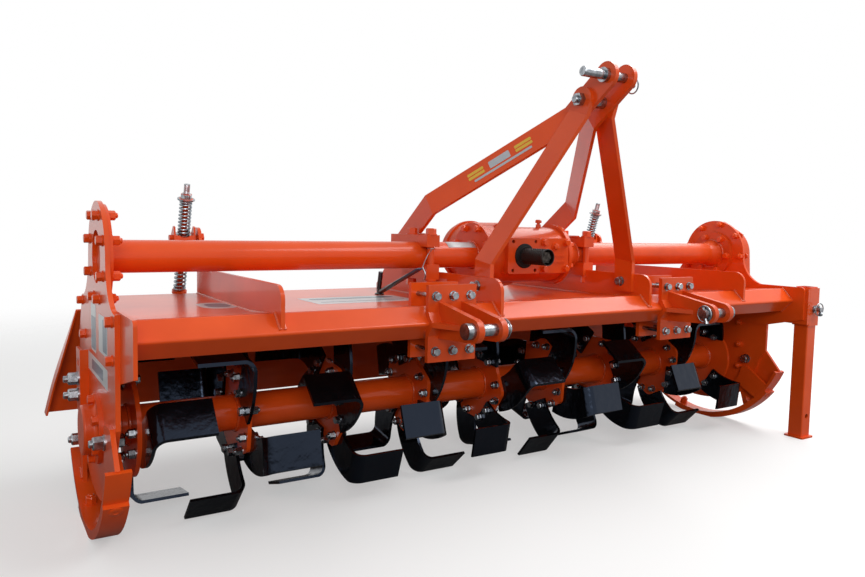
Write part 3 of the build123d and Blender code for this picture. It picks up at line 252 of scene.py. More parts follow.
def new_material(name, **surface):
    """Material with a Principled shader whose sockets are given by name; returns it with its tree,
    its shader and the object coordinates that its patterns read."""
    material = bpy.data.materials.new(name)
    material.use_nodes = True
    tree = material.node_tree
    shader = tree.nodes["Principled BSDF"]
    for socket, value in surface.items():
        shader.inputs[socket.replace("_", " ")].default_value = value
    place = add_node(tree, "TexCoord").outputs["Object"]
    return material, tree, shader, place


def pattern(tree, place, millimetres, **settings):
    """Noise whose blotches are about the given size; object coordinates are in metres."""
    return add_node(tree, "TexNoise", links={"Vector": place}, Scale=1 / (millimetres * MM), **settings)


def blend_colours(tree, factor, first, second, low=0.35, high=0.65):
    """Colour that goes from first to second as the factor goes from low to high."""
    ramp = add_node(tree, "ValToRGB", links={"Fac": factor})
    stops = ramp.color_ramp.elements
    stops[0].position, stops[1].position = low, high
    stops[0].color, stops[1].color = hex_colour(first), hex_colour(second)
    return ramp.outputs["Color"]


def add_bump(tree, shader, height, millimetres, strength=1.0):
    """Bump whose full height is the given depth."""
    bump = add_node(tree, "Bump", links={"Height": height}, Strength=strength, Distance=millimetres * MM)
    tree.links.new(bump.outputs["Normal"], shader.inputs["Normal"])
    return bump


# ---- Materials -------------------------------------------------------------------
def gloss_powder_coat():
    """Polyester powder coat on blasted steel, baked to a gloss: a deep even orange under a clear
    shine, rippled like orange peel, a little darker where the film is thin."""
    material, tree, shader, place = new_material(
        "gloss_powder_coat", Roughness=0.3, IOR=1.5, Specular_IOR_Level=0.2,
        Coat_Weight=0.3, Coat_Roughness=0.07,
    )
    film = pattern(tree, place, 140, Detail=3.0, Roughness=0.55)
    colour = blend_colours(tree, film.outputs["Fac"], "#DA4A10", "#E65317", 0.3, 0.7)
    peel = pattern(tree, place, 3.5, Detail=2.0)
    add_bump(tree, shader, peel.outputs["Fac"], 0.12, 0.5)
    tree.links.new(colour, shader.inputs["Base Color"])
    return material


def painted_casting():
    """Sand-cast iron under the same powder coat: the mould's grain of about 2 mm shows through, so
    the shine is broken and softer."""
    material, tree, shader, place = new_material(
        "painted_casting", Roughness=0.4, IOR=1.5, Specular_IOR_Level=0.25,
        Coat_Weight=0.22, Coat_Roughness=0.16,
    )
    film = pattern(tree, place, 60, Detail=4.0)
    colour = blend_colours(tree, film.outputs["Fac"], "#CE450E", "#DC4E14", 0.3, 0.7)
    grain = pattern(tree, place, 4, Detail=5.0, Roughness=0.65)
    add_bump(tree, shader, grain.outputs["Fac"], 0.45, 0.8)
    tree.links.new(colour, shader.inputs["Base Color"])
    return material


def painted_weld():
    """Weld metal under powder coat: the ripples are geometry. The colour follows the small bump's noise,
    with painted shade in its low spots and painted highlights in short dashes on its crests."""
    material, tree, shader, place = new_material(
        "painted_weld", Roughness=0.26, IOR=1.5, Specular_IOR_Level=0.3, Coat_Weight=0.5, Coat_Roughness=0.06
    )
    film = pattern(tree, place, 5, Detail=3.0)
    # the bump's height also sets the colour: painted shade in its low spots, painted highlight on its crests
    colour = blend_colours(tree, film.outputs["Fac"], "#BE3B0C", "#E2581F", 0.3, 0.7)
    add_bump(tree, shader, film.outputs["Fac"], 0.3, 0.6)
    tree.links.new(colour, shader.inputs["Base Color"])
    return material


def black_enamel():
    """Stoving enamel dipped over forged spring steel: black, thick and glossy, with soft sags and
    forge scale under it, so highlights are broad, bluish and slightly wavy."""
    material, tree, shader, place = new_material(
        "black_enamel", Roughness=0.17, IOR=1.5, Specular_IOR_Level=0.55, Specular_Tint=hex_colour("#B4CBF5")
    )
    film = pattern(tree, place, 45, Detail=3.0)
    colour = blend_colours(tree, film.outputs["Fac"], "#030304", "#090A0C", 0.35, 0.7)
    sags = pattern(tree, place, 24, Detail=2.5, Roughness=0.5)
    add_bump(tree, shader, sags.outputs["Fac"], 1.6, 0.8)
    tree.links.new(colour, shader.inputs["Base Color"])
    return material


def zinc_plate(name, bright, dull, roughness):
    """Electroplated zinc with a clear passivate on turned or rolled steel: a cool bright metal with
    cloudy patches and fine machining lines."""
    material, tree, shader, place = new_material(name, Metallic=1.0, Roughness=roughness)
    cloud = pattern(tree, place, 12, Detail=4.0)
    colour = blend_colours(tree, cloud.outputs["Fac"], dull, bright, 0.3, 0.65)
    lines = pattern(tree, place, 1.2, Detail=2.0)
    add_bump(tree, shader, lines.outputs["Fac"], 0.05, 0.4)
    tree.links.new(colour, shader.inputs["Base Color"])
    return material


def oiled_steel():
    """Machined steel left bare and wiped with preserving oil: dark grey-brown, satin."""
    material, tree, shader, place = new_material("oiled_steel", Metallic=1.0, Roughness=0.38)
    cloud = pattern(tree, place, 8, Detail=4.0)
    colour = blend_colours(tree, cloud.outputs["Fac"], "#2B2624", "#5A534E", 0.35, 0.7)
    tree.links.new(colour, shader.inputs["Base Color"])
    return material


def extruded_net():
    """Extruded polyethylene protective net: waxy black strands with a soft shine."""
    material, tree, shader, place = new_material("extruded_net", Roughness=0.36, Specular_IOR_Level=0.35)
    cloud = pattern(tree, place, 2.5, Detail=3.0)
    colour = blend_colours(tree, cloud.outputs["Fac"], "#0A0807", "#241C18", 0.4, 0.7)
    tree.links.new(colour, shader.inputs["Base Color"])
    return material


def moulded_rubber():
    """Moulded nitrile rubber: near black and matt, with a faint bloom."""
    material, tree, shader, place = new_material("moulded_rubber", Roughness=0.62, Specular_IOR_Level=0.2)
    bloom = pattern(tree, place, 10, Detail=3.0)
    colour = blend_colours(tree, bloom.outputs["Fac"], "#0D0D0E", "#191A1B")
    tree.links.new(colour, shader.inputs["Base Color"])
    return material


def dipped_rod():
    """Black dipped mild steel rod, with a steel-blue painted highlight in patches on its upper part towards its
    flattened end.
    """
    material, tree, shader, place = new_material("dipped_rod", Roughness=0.3, IOR=1.5, Coat_Weight=0.4)
    # painted highlight: steel-blue mixed in by height (55 to 115 mm) times a patchy noise
    height = add_node(tree, "SeparateXYZ", links={"Vector": place}).outputs["Z"]
    highlight_patches = pattern(tree, place, 7, Detail=5.0)
    reach = add_node(tree, "MapRange", links={"Value": height}, From_Min=0.055, From_Max=0.115)
    painted_highlight = add_node(
        tree, "Math", {"operation": "MULTIPLY"}, {0: reach.outputs["Result"], 1: highlight_patches.outputs["Fac"]}
    )
    colour = blend_colours(tree, painted_highlight.outputs["Value"], "#0F1013", "#33486A", 0.18, 0.5)
    tree.links.new(colour, shader.inputs["Base Color"])
    return material


def printed_vinyl(name, code, roughness=0.28):
    """Printed vinyl film under a clear laminate: flat colour, clean shine, faint mottling."""
    material, tree, shader, place = new_material(name, Roughness=roughness, IOR=1.46)
    mottle = pattern(tree, place, 16, Detail=4.0)
    shade = hex_colour(code)
    ramp = add_node(tree, "ValToRGB", links={"Fac": mottle.outputs["Fac"]})
    ramp.color_ramp.elements[0].color = (*(0.86 * c for c in shade[:3]), 1.0)
    ramp.color_ramp.elements[1].color = shade
    tree.links.new(ramp.outputs["Color"], shader.inputs["Base Color"])
    return material


powder = gloss_powder_coat()
casting = painted_casting()
weld = painted_weld()
enamel = black_enamel()
zinc = zinc_plate("zinc_plated_steel", "#B4B8BD", "#74787D", 0.27)
spring_zinc = zinc_plate("zinc_plated_wire", "#A9AFB6", "#6C7278", 0.3)
oiled = oiled_steel()
net = extruded_net()
rubber = moulded_rubber()
dipped = dipped_rod()
FINISH = {
    "orange_paint": powder,
    "orange_cast": casting,
    "tine_paint": enamel,
    "zinc_plate": zinc,
    "dark_steel": oiled,
    "net_sleeve": net,
    "seal_rubber": rubber,
    "black_rod": dipped,
}
slots = {part["node"]: part["material_slot"] for part in frame["record"]["subparts"]}
for name, node in nodes.items():
    node.data.materials.clear()
    node.data.materials.append(FINISH[slots[name]])

# ---- Fasteners --------------------------------------------------------------------
# Shares of a head's size across flats: the circle that cuts its corners, and its washer.
CHAMFER = 0.93
WASHER = 0.66


def bolt_head(across, sides=12):
    """Washer and hexagon head: the head is 0.62 of the size across flats high, its top corners
    cut to a circle a little inside the flats."""
    head, washer = 0.62 * across, 0.12 * across
    return turned([
        (WASHER * across, 0, 0),
        (WASHER * across, washer, 0),
        (across / 2, washer, 1),
        (across / 2, washer + 0.86 * head, 1),
        (CHAMFER * across / 2, washer + head, 0),
    ], sides)


def nut_and_stud(across, proud, sides=12):
    """Washer, hexagon nut 0.8 of its size across flats high, and the stud's end standing proud."""
    nut, washer, stud = 0.8 * across, 0.12 * across, 0.32 * across
    return turned([
        (WASHER * across, 0, 0),
        (WASHER * across, washer, 0),
        (across / 2, washer, 1),
        (across / 2, washer + 0.88 * nut, 1),
        (CHAMFER * across / 2, washer + nut, 0),
        (stud, washer + nut, 0),
        (stud, washer + nut + proud - 2, 0),
        (stud - 1.5, washer + nut + proud, 0),
    ], sides)


# Size across flats for each thread.
M12, M14, M16, M20 = 18, 19, 22, 26

case_top_ring, case_foot_ring = 112, 130


def case_rim_points(x, spacing=78):
    """Bolt places round the gear case's rim: even steps along two arcs, about the axle and about the
    rotor, and the two straight tangents that join them."""
    height = axle[1] - rotor[1]
    lean = np.arcsin((case_foot_ring - case_top_ring) / height)
    top = np.linspace(-lean, np.pi + lean, 181)
    foot = np.linspace(np.pi + lean, 2 * np.pi - lean, 181)
    middle_y = (axle[0] + rotor[0]) / 2

    def arc(centre_z, radius, angle):
        return np.column_stack([middle_y - radius * np.cos(angle), centre_z + radius * np.sin(angle)])

    outline = np.concatenate([arc(axle[1], case_top_ring, top), arc(rotor[1], case_foot_ring, foot)])
    outline = np.vstack([outline, outline[:1]])
    length = np.concatenate([[0], np.cumsum(np.linalg.norm(np.diff(outline, axis=0), axis=1))])
    count = int(length[-1] / spacing)
    at = np.arange(count) * length[-1] / count
    y, z = (np.interp(at, length, outline[:, k]) for k in (0, 1))
    return np.column_stack([np.full(count, x), y, z])


def side_points(x, *places):
    """Points at x from (y, z) pairs."""
    return np.array([(x, y, z) for y, z in places], float)


gearbox_low, gearbox_high = corners("gearbox")
gearbox_left = 200
cover_x, cover_z, cover_inset = (62, 176), (97, 203), 13
clevis_flange, clevis_pitch, clevis_reach = 12, 50, 66.5
clevis_front = corners("clevis_right")[1][1] - clevis_flange
clamp_rear = corners("clevis_clamps")[1][1]
clevis_x = [sum(corners(name))[0] / 2 for name in ("clevis_right", "clevis_left")]
clevis_bolts = np.array([
    (x + step * clevis_pitch, side * clevis_reach)
    for x in clevis_x
    for step in (-1, 0, 1)
    for side in (-1, 1)
])
clamp_half, clamp_reach = 21, 51
upper_low, upper_high = corners("tube_clamps_upper")
lower_low = corners("tube_clamps_lower")[0]
clamp_x = (upper_high[0] - clamp_half, upper_low[0] + clamp_half)
clamp_bolts = np.array([(x, axle[0] + side * clamp_reach) for x in clamp_x for side in (-1, 1)])


def at_height(places, z):
    """Points at height z from (x, y) pairs."""
    return np.column_stack([places, np.full(len(places), z)])


def at_depth(places, y):
    """Points at depth y from (x, z) pairs."""
    return np.column_stack([places[:, 0], np.full(len(places), y), places[:, 1]])


cover_bolts = np.array([
    (x, z)
    for x in (cover_x[0] + cover_inset, cover_x[1] - cover_inset)
    for z in (cover_z[0] + cover_inset, cover_z[1] - cover_inset)
])
# The bearing's flange and the skid's web lie on the support plate, and the gear case's rim and the
# other skid's web on the drive plate, each as thick as the plate.
support_face, drive_face = support_out - plate, drive_out + plate
tube_flange, drive_collar = 8, 14
head_ring, collar_ring, end_ring, bearing_ring, drum_ring = 100, 67, 84, 68, 70
rear_bolts = ((695, 30), (650, -50))
front_bolts = ((264, 26), (261, -53))
drum_angles = np.arange(8) * np.pi / 4 + np.pi / 8
drum_bolts = np.column_stack([drum_ring * np.cos(drum_angles), axle[1] + drum_ring * np.sin(drum_angles)])

painted = [
    copies(bolt_head(M14), ring(support_out, axle, head_ring, 8, 22.5), -X),
    copies(nut_and_stud(M14, 5), ring(support_in + tube_flange, axle, head_ring, 8, 22.5), X),
    copies(bolt_head(M14), side_points(support_out, *rear_bolts, *front_bolts), -X),
    copies(bolt_head(M14), side_points(drive_out, *rear_bolts), X),
    copies(bolt_head(M12), ring(support_face, rotor, bearing_ring, 6, 90), -X),
    copies(bolt_head(M12), case_rim_points(drive_face), X),
    copies(nut_and_stud(M12, 4), case_rim_points(drive_in), -X),
    copies(bolt_head(M14), ring(drive_in - drive_collar, axle, collar_ring, 6, -5), -X),
    copies(bolt_head(M12), ring(gearbox_low[0], axle, end_ring, 8, 22.5), -X),
    copies(bolt_head(M12), ring(gearbox_left, axle, end_ring, 8, 22.5), X),
    copies(bolt_head(M12), at_depth(drum_bolts, gearbox_high[1]), Y),
    copies(bolt_head(M12), at_depth(cover_bolts, gearbox_low[1]), -Y),
    copies(bolt_head(M20), at_height(clamp_bolts, upper_high[2]), Z),
    copies(nut_and_stud(M20, 12), at_height(clamp_bolts, lower_low[2]), -Z),
]
add_piece("painted_fasteners", painted, "frame", powder)

bar_foot, mast_bar_plate = (240, 78), 12
skid_bolts = ((303, -232), (670, -320))
strip_x, strip_bolts = corners("support_plate")[0][0], ((632.5, -158), (632.5, -198))
shank = turned([(6, 0, 0), (6, clamp_rear - clevis_front - 4, 0)], 12)
right_rib, left_rib = rib_x[1:3]
zinc_parts = [
    copies(bolt_head(M12), at_depth(clevis_bolts, clevis_front), -Y),
    copies(nut_and_stud(M12, 8), at_depth(clevis_bolts, clamp_rear), Y),
    copies(shank, at_depth(clevis_bolts, clevis_front + 2), Y),
    copies(nut_and_stud(M20, 7), side_points(support_face, *skid_bolts), -X),
    copies(nut_and_stud(M20, 7), side_points(drive_face, *skid_bolts), X),
    copies(bolt_head(M20), side_points(support_in, *skid_bolts), X),
    copies(bolt_head(M20), side_points(drive_in, *skid_bolts), -X),
    copies(nut_and_stud(M20, 10), side_points(strip_x, *strip_bolts), -X),
    copies(bolt_head(M16), side_points(right_rib + rib_plate / 2 + mast_bar_plate, bar_foot), X),
    copies(nut_and_stud(M16, 6), side_points(right_rib - rib_plate / 2, bar_foot), -X),
    copies(bolt_head(M16), side_points(left_rib - rib_plate / 2 - mast_bar_plate, bar_foot), -X),
    copies(nut_and_stud(M16, 6), side_points(left_rib + rib_plate / 2, bar_foot), X),
]

# The mast bolt's stud stands out of its two nuts.
mast_low, mast_high = corners("mast_bolt")
mast_line = sum(corners("mast_bolt"))[1:] / 2
stud_end = turned([(10, -1, 0), (10, 7, 0), (8.5, 9, 0)], 20)
zinc_parts += [
    copies(stud_end, side_points(mast_high[0], mast_line), X),
    copies(stud_end, side_points(mast_low[0], mast_line), -X),
]
add_piece("zinc_fasteners", zinc_parts, "frame", zinc)

# ---- Rotor: two bolts through each tine's root ---------------------------------------
disc_low, disc_high = corners("end_discs")
rotor_plate, tine_plate = 10, 8
wide_bay = 278
first_x, last_x = disc_low[0] + rotor_plate / 2, disc_high[0] - rotor_plate / 2
even_pitch = (last_x - 2 * wide_bay - first_x) / 6
flange_x = np.concatenate([first_x + even_pitch * np.arange(7), last_x + wide_bay * np.array([-1, 0])])
tine_angle = 75 + 29 * np.arange(9)
hand_stagger = 53
# Angle from the tine and radius of the two bolts through its root.
root_bolts = np.array([(12, 97), (39, 103)])


def root_points(out, stagger, used, offset):
    """Bolt places of one hand of tines: at each flange's x + offset, and at angle a and radius r
    from the rotor's axis, y = -r sin a and z = r cos a, with a = flange + stagger + 120 k + bolt."""
    turn = tine_angle[used][:, None, None] + stagger + 120 * np.arange(3)[None, :, None]
    angle = np.radians(turn + root_bolts[None, None, :, 0])
    radius = np.broadcast_to(root_bolts[None, None, :, 1], angle.shape)
    x = np.broadcast_to((flange_x[used] + out * offset)[:, None, None], angle.shape)
    points = [x, rotor[0] - radius * np.sin(angle), rotor[1] + radius * np.cos(angle)]
    return np.stack(points, axis=-1).reshape(-1, 3)


tine_bolts = []
for out, stagger, used in ((1, 0, slice(0, 8)), (-1, hand_stagger, slice(1, 9))):
    heads = root_points(out, stagger, used, rotor_plate / 2 + tine_plate)
    nuts = root_points(out, stagger, used, -rotor_plate / 2)
    tine_bolts.append(copies(bolt_head(M12), heads, out * X))
    tine_bolts.append(copies(nut_and_stud(M12, 5), nuts, -out * X))
add_piece("tine_bolts", tine_bolts, "rotor", zinc)


# ---- Weld beads -----------------------------------------------------------------------
BEAD_STEP = 1.6
BEAD_RIPPLE = 4.5
ROTOR_STEP = 2.2


def bead(path, up, radius=3.6, closed=False):
    """Weld bead: a round bar along the path whose radius is r * (1 + 0.14 |sin(pi s / ripple)| + slow
    wander), where s is the length along it."""
    path = np.asarray(path, float)
    if not closed:
        step = np.linalg.norm(np.diff(path, axis=0), axis=1)
        length = np.concatenate([[0], np.cumsum(step)])
        at = np.linspace(0, length[-1], max(4, int(length[-1] / BEAD_STEP)))
        path = np.column_stack([np.interp(at, length, path[:, k]) for k in range(3)])
    else:
        at = np.arange(len(path)) * np.linalg.norm(path[1] - path[0])
    phase = rng.uniform(0, 2 * np.pi, 2)
    wander = 0.06 * np.sin(at / 11 + phase[0]) + 0.05 * np.sin(at / 29 + phase[1])
    ripple = 0.14 * np.abs(np.sin(np.pi * at / BEAD_RIPPLE))
    return bar(path, up, radius * (1 + ripple + wander), 8, closed)


beads = []
beam_low, beam_high = corners("front_beam")
beam_reach = 41
strip_top, bend_y, deck_end = beam_high[2] - 5, 325, 786
for x in rib_x:
    for face in (-1, 1):
        side_x = x + face * (rib_plate / 2 + 0.5)
        on_deck = [(side_x, 212, strip_top), (side_x, bend_y, deck_z), (side_x, deck_end, deck_z)]
        beads.append(bead(on_deck, Z))
        beads.append(bead([(side_x, 139, 7), (side_x, beam_y - 1, beam_reach)], X, 4.2))
for x in (beam_low[0] + 1, beam_high[0] - 1):
    for foot in (-1, 1):
        beads.append(bead([(x, beam_front + 2, 0), (x, beam_y, foot * beam_reach)], X, 4))
collar_neck, left_neck = 50, 80
for x, radius in (
    (support_in + tube_flange, axle_radius),
    (gearbox_low[0] - 1, axle_radius),
    (drive_in - drive_collar - 1, collar_neck),
    (gearbox_left + left_neck, axle_radius),
):
    beads.append(bead(circle_path(x, axle, radius + 1, BEAD_STEP), X, closed=True))
sleeve_low, sleeve_high = corners("stand_sleeve")
for y in (sleeve_low[1] + 4, sleeve_high[1] - 4):
    beads.append(bead([(drive_out + 0.5, y, sleeve_low[2] + 5), (drive_out + 0.5, y, 40)], X, 4))
sole_radius, sole_plate, sole_wear = 343, 10, 6
sole = np.array([494, corners("skid_support")[0][2] - sole_wear + sole_plate + sole_radius])
for x in (support_face, drive_face):
    for angles in ((206, 236), (300, 306)):
        sweep = np.radians(np.linspace(*angles, 60))
        reach = sole_radius - sole_plate - 1
        arc = [np.full(60, x), sole[0] + reach * np.cos(sweep), sole[1] + reach * np.sin(sweep)]
        beads.append(bead(np.column_stack(arc), X, 4))
brace_weld = (425, 522)
for x in clamp_x:
    inner = x - np.sign(x) * clamp_half
    beads.append(bead([(inner, y, upper_high[2]) for y in brace_weld], Z))
add_piece("frame_welds", beads, "frame", weld, crease=60)

flange_weld, end_weld = 45.5, 43
rotor_beads = [
    bead(circle_path(x + face * (rotor_plate / 2 + 1), rotor, flange_weld, ROTOR_STEP), X, 4, closed=True)
    for x in flange_x
    for face in (-1, 1)
]
rotor_beads += [
    bead(circle_path(end[0], rotor, end_weld, ROTOR_STEP), X, 3.5, closed=True)
    for end in corners("rotor_tube")
]
add_piece("rotor_welds", rotor_beads, "rotor", weld, crease=60)

# ---- Springs and rod ends -----------------------------------------------------------
WIRE = 6
COIL_RADIUS = 15


def spring(foot, direction, length, turns):
    """Closed-end compression spring: a round wire on a helix about the rod. Its height rises by one
    wire in the first and the last turn, and evenly between."""
    turn = np.linspace(0, turns, turns * 20 + 1)
    low, closed = WIRE / 2, 1.5 * WIRE
    height = np.interp(turn, [0, 1, turns - 1, turns], [low, closed, length - closed, length - low])
    square = np.cross(direction, X)
    across = np.cos(2 * np.pi * turn)[:, None] * X + np.sin(2 * np.pi * turn)[:, None] * square
    return bar(foot + COIL_RADIUS * across + height[:, None] * direction, direction, WIRE / 2, 8)


thread_pitch = 2.5
spring_gap, upper_length, lower_length = 11.5, 99.5, 149.5
washer_foot, nut_foot, nut_end = 111.6, 114.9, 129
for side, rod_x in (("right", rib_x[0] - 40), ("left", rib_x[3] - 40)):
    eye_y, eye_z = (joints[f"rod_{side}_eye"]["pos_m"][k] / MM for k in (1, 2))
    yoke_y, yoke_z = (joints[f"yoke_{side}_pivot"]["pos_m"][k] / MM for k in (1, 2))
    eye, yoke = np.array([rod_x, eye_y, eye_z]), np.array([rod_x, yoke_y, yoke_z])
    rod = unit(yoke - eye)
    lower_foot = yoke - rod * (spring_gap + lower_length)
    upper = add_piece(
        f"upper_coil_{side}", [spring(yoke + rod * spring_gap, rod, upper_length, 10)],
        f"pivot_{side}", spring_zinc,
    )
    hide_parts(f"upper_spring_{side}")
    lower = add_piece(
        f"lower_coil_{side}", [spring(lower_foot, rod, lower_length, 13)],
        f"rod_{side}", spring_zinc,
    )
    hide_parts(f"lower_spring_{side}")
    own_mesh(lower)
    thread_length = (corners(f"spring_rod_{side}")[1][2] - yoke_z) / rod[2] - nut_end
    ridges = range(int(thread_length / thread_pitch * 2))
    thread = turned([(7.9, 0, 0)] + [(8 + 0.5 * (k % 2), 1 + k * thread_pitch / 2, 0) for k in ridges], 16)
    nut_washer = turned([(9, -0.2, 0), (24, -0.2, 0), (24, 3.2, 0), (9, 3.2, 0)], 28)
    nut = turned([(8.2, 0, 0), (13.3, 0, 1), (13.3, 12, 1), (12.6, 14.3, 0), (8.2, 14.3, 0)], 24)
    rod_end = [
        copies(thread, yoke + rod * nut_end, rod),
        copies(nut_washer, yoke + rod * washer_foot, rod),
        copies(nut, yoke + rod * nut_foot, rod, 0.0),
    ]
    add_piece(f"rod_thread_{side}", rod_end, f"rod_{side}", zinc)
    seat = turned([(8.5, 0, 0), (21, 0, 0), (21, 2.5, 0), (8.5, 2.5, 0)], 28)
    seats = [copies(seat, yoke + rod * 8.8, rod)]
    add_piece(f"spring_seat_{side}", seats, f"pivot_{side}", zinc)
    # The rod shows painted between its springs' coils.
    nodes[f"spring_rod_{side}"].data.materials[0] = powder


# ---- Linch pins and rings -------------------------------------------------------------
def linch_pin(centre, axis, hang, pin_radius, ring_radius=21, drop=0):
    """Linch pin through a hitch pin: a shank along hang, a block head, and a sprung wire ring in the
    plane square to its axis, closed round the pin or hanging open by a drop."""
    axis, hang = unit(axis), unit(hang)
    beside = np.cross(axis, hang)
    angle = np.linspace(0, 2 * np.pi, 49)[:-1, None]
    round_pin = ring_radius * (np.cos(angle) * hang + np.sin(angle) * beside)
    loop = centre + drop * hang + axis * 1.5 * np.sin(angle) + round_pin
    end = pin_radius + 7
    profile = [(3.2, -end), (4.4, 3 - end), (4.4, end), (7, end), (7, end + 7), (5, end + 9)]
    pin = turned([(radius, height, 0) for radius, height in profile], 16)
    return [bar(loop, axis, 1.9, 8, closed=True), copies(pin, centre, hang, 0.0)]


top_end = corners("top_pin")[1][0]
top_line = sum(corners("top_pin"))[1:] / 2
stand_end = corners("stand_pin")[0][1]
stand_line = sum(corners("stand_pin")) / 2
ear_out, tail_hole = 41, 11
rings = []
for centre, lean in (
    (clevis_x[0] + ear_out + tail_hole, (0, 0.35, -1)),
    (clevis_x[1] - ear_out - tail_hole, (0, -0.3, -1)),
):
    rings += linch_pin(np.array([centre, 0, 0]), X, lean, pin_radius=14, ring_radius=23)
top_hole = np.array([top_end - 6, *top_line])
stand_hole = np.array([stand_line[0], stand_end + 7, stand_line[2]])
rings += linch_pin(top_hole, X, (0, -0.7, -1), pin_radius=12.5, ring_radius=19, drop=24)
rings += linch_pin(stand_hole, Y, (0.5, 0, -1), pin_radius=8)
collar = turned([(14.5, 0, 0), (20, 0, 0), (20, 4, 0), (14.5, 4, 0)], 28)
rings += [
    copies(collar, (clevis_x[0] + ear_out + 0.5, 0, 0), X),
    copies(collar, (clevis_x[1] - ear_out - 0.5, 0, 0), -X),
]
add_piece("linch_pins", rings, "frame", zinc)

# ---- Drive input: woven net sleeve, splined end -----------------------------------------
sleeve_low, sleeve_high = corners("pto_sleeve")
input_z = axle[1]
strands = 16
strand_turn = 0.62


def net_sleeve(radius, wire):
    """Net of two sets of helical strands that cross: at a share t of the length a strand's angle is
    its start angle plus or minus 2 pi * turn * t, and it weaves in and out by a share of its wire."""
    share = np.linspace(0, 1, 46)
    y = sleeve_low[1] + 1.5 + share * (sleeve_high[1] - sleeve_low[1] - 3)
    shapes = []
    for hand in (-1, 1):
        for start in np.arange(strands) * 2 * np.pi / strands:
            angle = start + hand * 2 * np.pi * strand_turn * share
            weave = radius + hand * 0.45 * wire * np.cos(strands * 2 * strand_turn * np.pi * share)
            path = np.column_stack([weave * np.cos(angle), y, input_z + weave * np.sin(angle)])
            outward_way = np.column_stack([np.cos(angle), np.zeros_like(angle), np.sin(angle)])
            shapes.append(bar(path, outward_way, (1.5 * wire, wire), 6))
    angle = np.linspace(0, 2 * np.pi, 97)[:-1]
    for y_end in (sleeve_low[1] + 1.5, sleeve_high[1] - 1.5):
        hoop = [radius * np.cos(angle), np.full(96, y_end), input_z + radius * np.sin(angle)]
        shapes.append(bar(np.column_stack(hoop), Y, 1.5, 8, closed=True))
    return shapes


def tube_wall(outer, inner, y0, y1, sides=64):
    """Hollow round tube along Y: outer skin and inner skin joined at both ends."""
    angle = np.linspace(0, 2 * np.pi, sides, endpoint=False)
    rows = [(outer, y0), (outer, y1), (inner, y1), (inner, y0)]
    rings_of = np.stack([
        np.column_stack([r * np.cos(angle), np.full(sides, y), input_z + r * np.sin(angle)]) for r, y in rows
    ])
    return capped(rings_of, closed=True)


net_shapes = net_sleeve(radius=23.2, wire=0.75)
net_shapes.append(tube_wall(outer=22.6, inner=21.4, y0=sleeve_low[1] + 2, y1=sleeve_high[1] - 1))
sleeve = add_piece("net_sleeve", net_shapes, "input", net, crease=50)
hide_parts("pto_sleeve")

shaft_front = corners("pto_shaft")[0][1]
teeth, spline_middle, spline_swing, centre_hole = 6, 18.6, 1.9, 4.0


def splined_end():
    """Six-spline shaft end: its radius is middle + swing * clip(1.6 cos(6 angle), -1, 1). A chamfer
    ring leads in, and the end face closes on a small centre."""
    angle = np.linspace(0, 2 * np.pi, 144, endpoint=False)
    crest = spline_middle + spline_swing * np.clip(1.6 * np.cos(teeth * angle), -1, 1)
    rows = [(np.full(144, centre_hole), -0.5), (0.86 * crest, -0.5), (crest, 2.1), (crest, 63.1)]
    return capped(np.stack([
        np.column_stack([r * np.cos(angle), np.full(144, shaft_front + y), input_z + r * np.sin(angle)])
        for r, y in rows
    ]))


add_piece("splined_end", [splined_end()], "input", oiled)

# The seal stands proud as a round rubber boot with a lip, and dark discs sit inside the bolt holes as painted
# shade.
seal_profile = [
    (24.5, 0, 0), (36.4, 0, 0), (36.4, 2.5, 0), (33.5, 5.5, 0), (29, 6.5, 0), (27.5, 9.5, 0), (24.5, 9.5, 0)
]
# painted shade: thin dark rubber discs set 9 mm inside the four bolt holes
hole_shade_disc = turned([(5.4, 0, 0), (5.4, 0.6, 0)], 20)
hole_reach = 43
hole_places = np.array(
    [(x, axle[1] + z) for x in (-hole_reach, hole_reach) for z in (-hole_reach, hole_reach)], float
)
add_piece(
    "input_seal_and_hole_shade",
    [copies(turned(seal_profile, 48), (0, gearbox_low[1] + 0.5, input_z), -Y)]
    + [copies(hole_shade_disc, at_depth(hole_places, gearbox_low[1] + 9), -Y)],
    "frame", rubber,
)

# ---- Gearbox: plugs, breather and the cover's cast ribs -----------------------------------
plug = turned([(13, 0, 0), (13, 3, 0), (8.5, 3, 1), (8.5, 10, 1), (7.6, 11, 0)], 24)
breather = turned([
    (9, 0, 0), (9, 4, 0), (7, 4, 1), (7, 12, 1), (5, 12, 0), (5, 16, 0), (10, 17, 0), (10, 24, 0), (7, 27, 0)
], 24)
bearing_cap = turned([(30, 0, 0), (30, 4, 0), (26, 7, 0), (9, 7, 0)], 40)
cover_rib = slab(rounded(86, 5, 2), 3)
cover_middle = sum(cover_x) / 2
barrel_radius, case_depth = 86, 77
gearbox_top = axle[1] + barrel_radius - 3
case_face = drive_out + case_depth
raised = [
    copies(plug, [(cover_middle, gearbox_low[1], 178)], -Y),
    copies(plug, [(-40, axle[0] - 20, gearbox_top)], Z),
    copies(breather, [(130, axle[0] - 10, gearbox_top)], Z),
    copies(plug, [(case_face + 1, axle[0], axle[1] + 20), (case_face + 1, rotor[0], rotor[1] + 60)], X),
    copies(bearing_cap, [(case_face, *rotor), (case_face, *axle)], X),
]
raised += [copies(cover_rib, [(cover_middle, gearbox_low[1], z)], -Y, 0.0) for z in (132, 150)]
add_piece("gearbox_plugs", raised, "frame", casting)

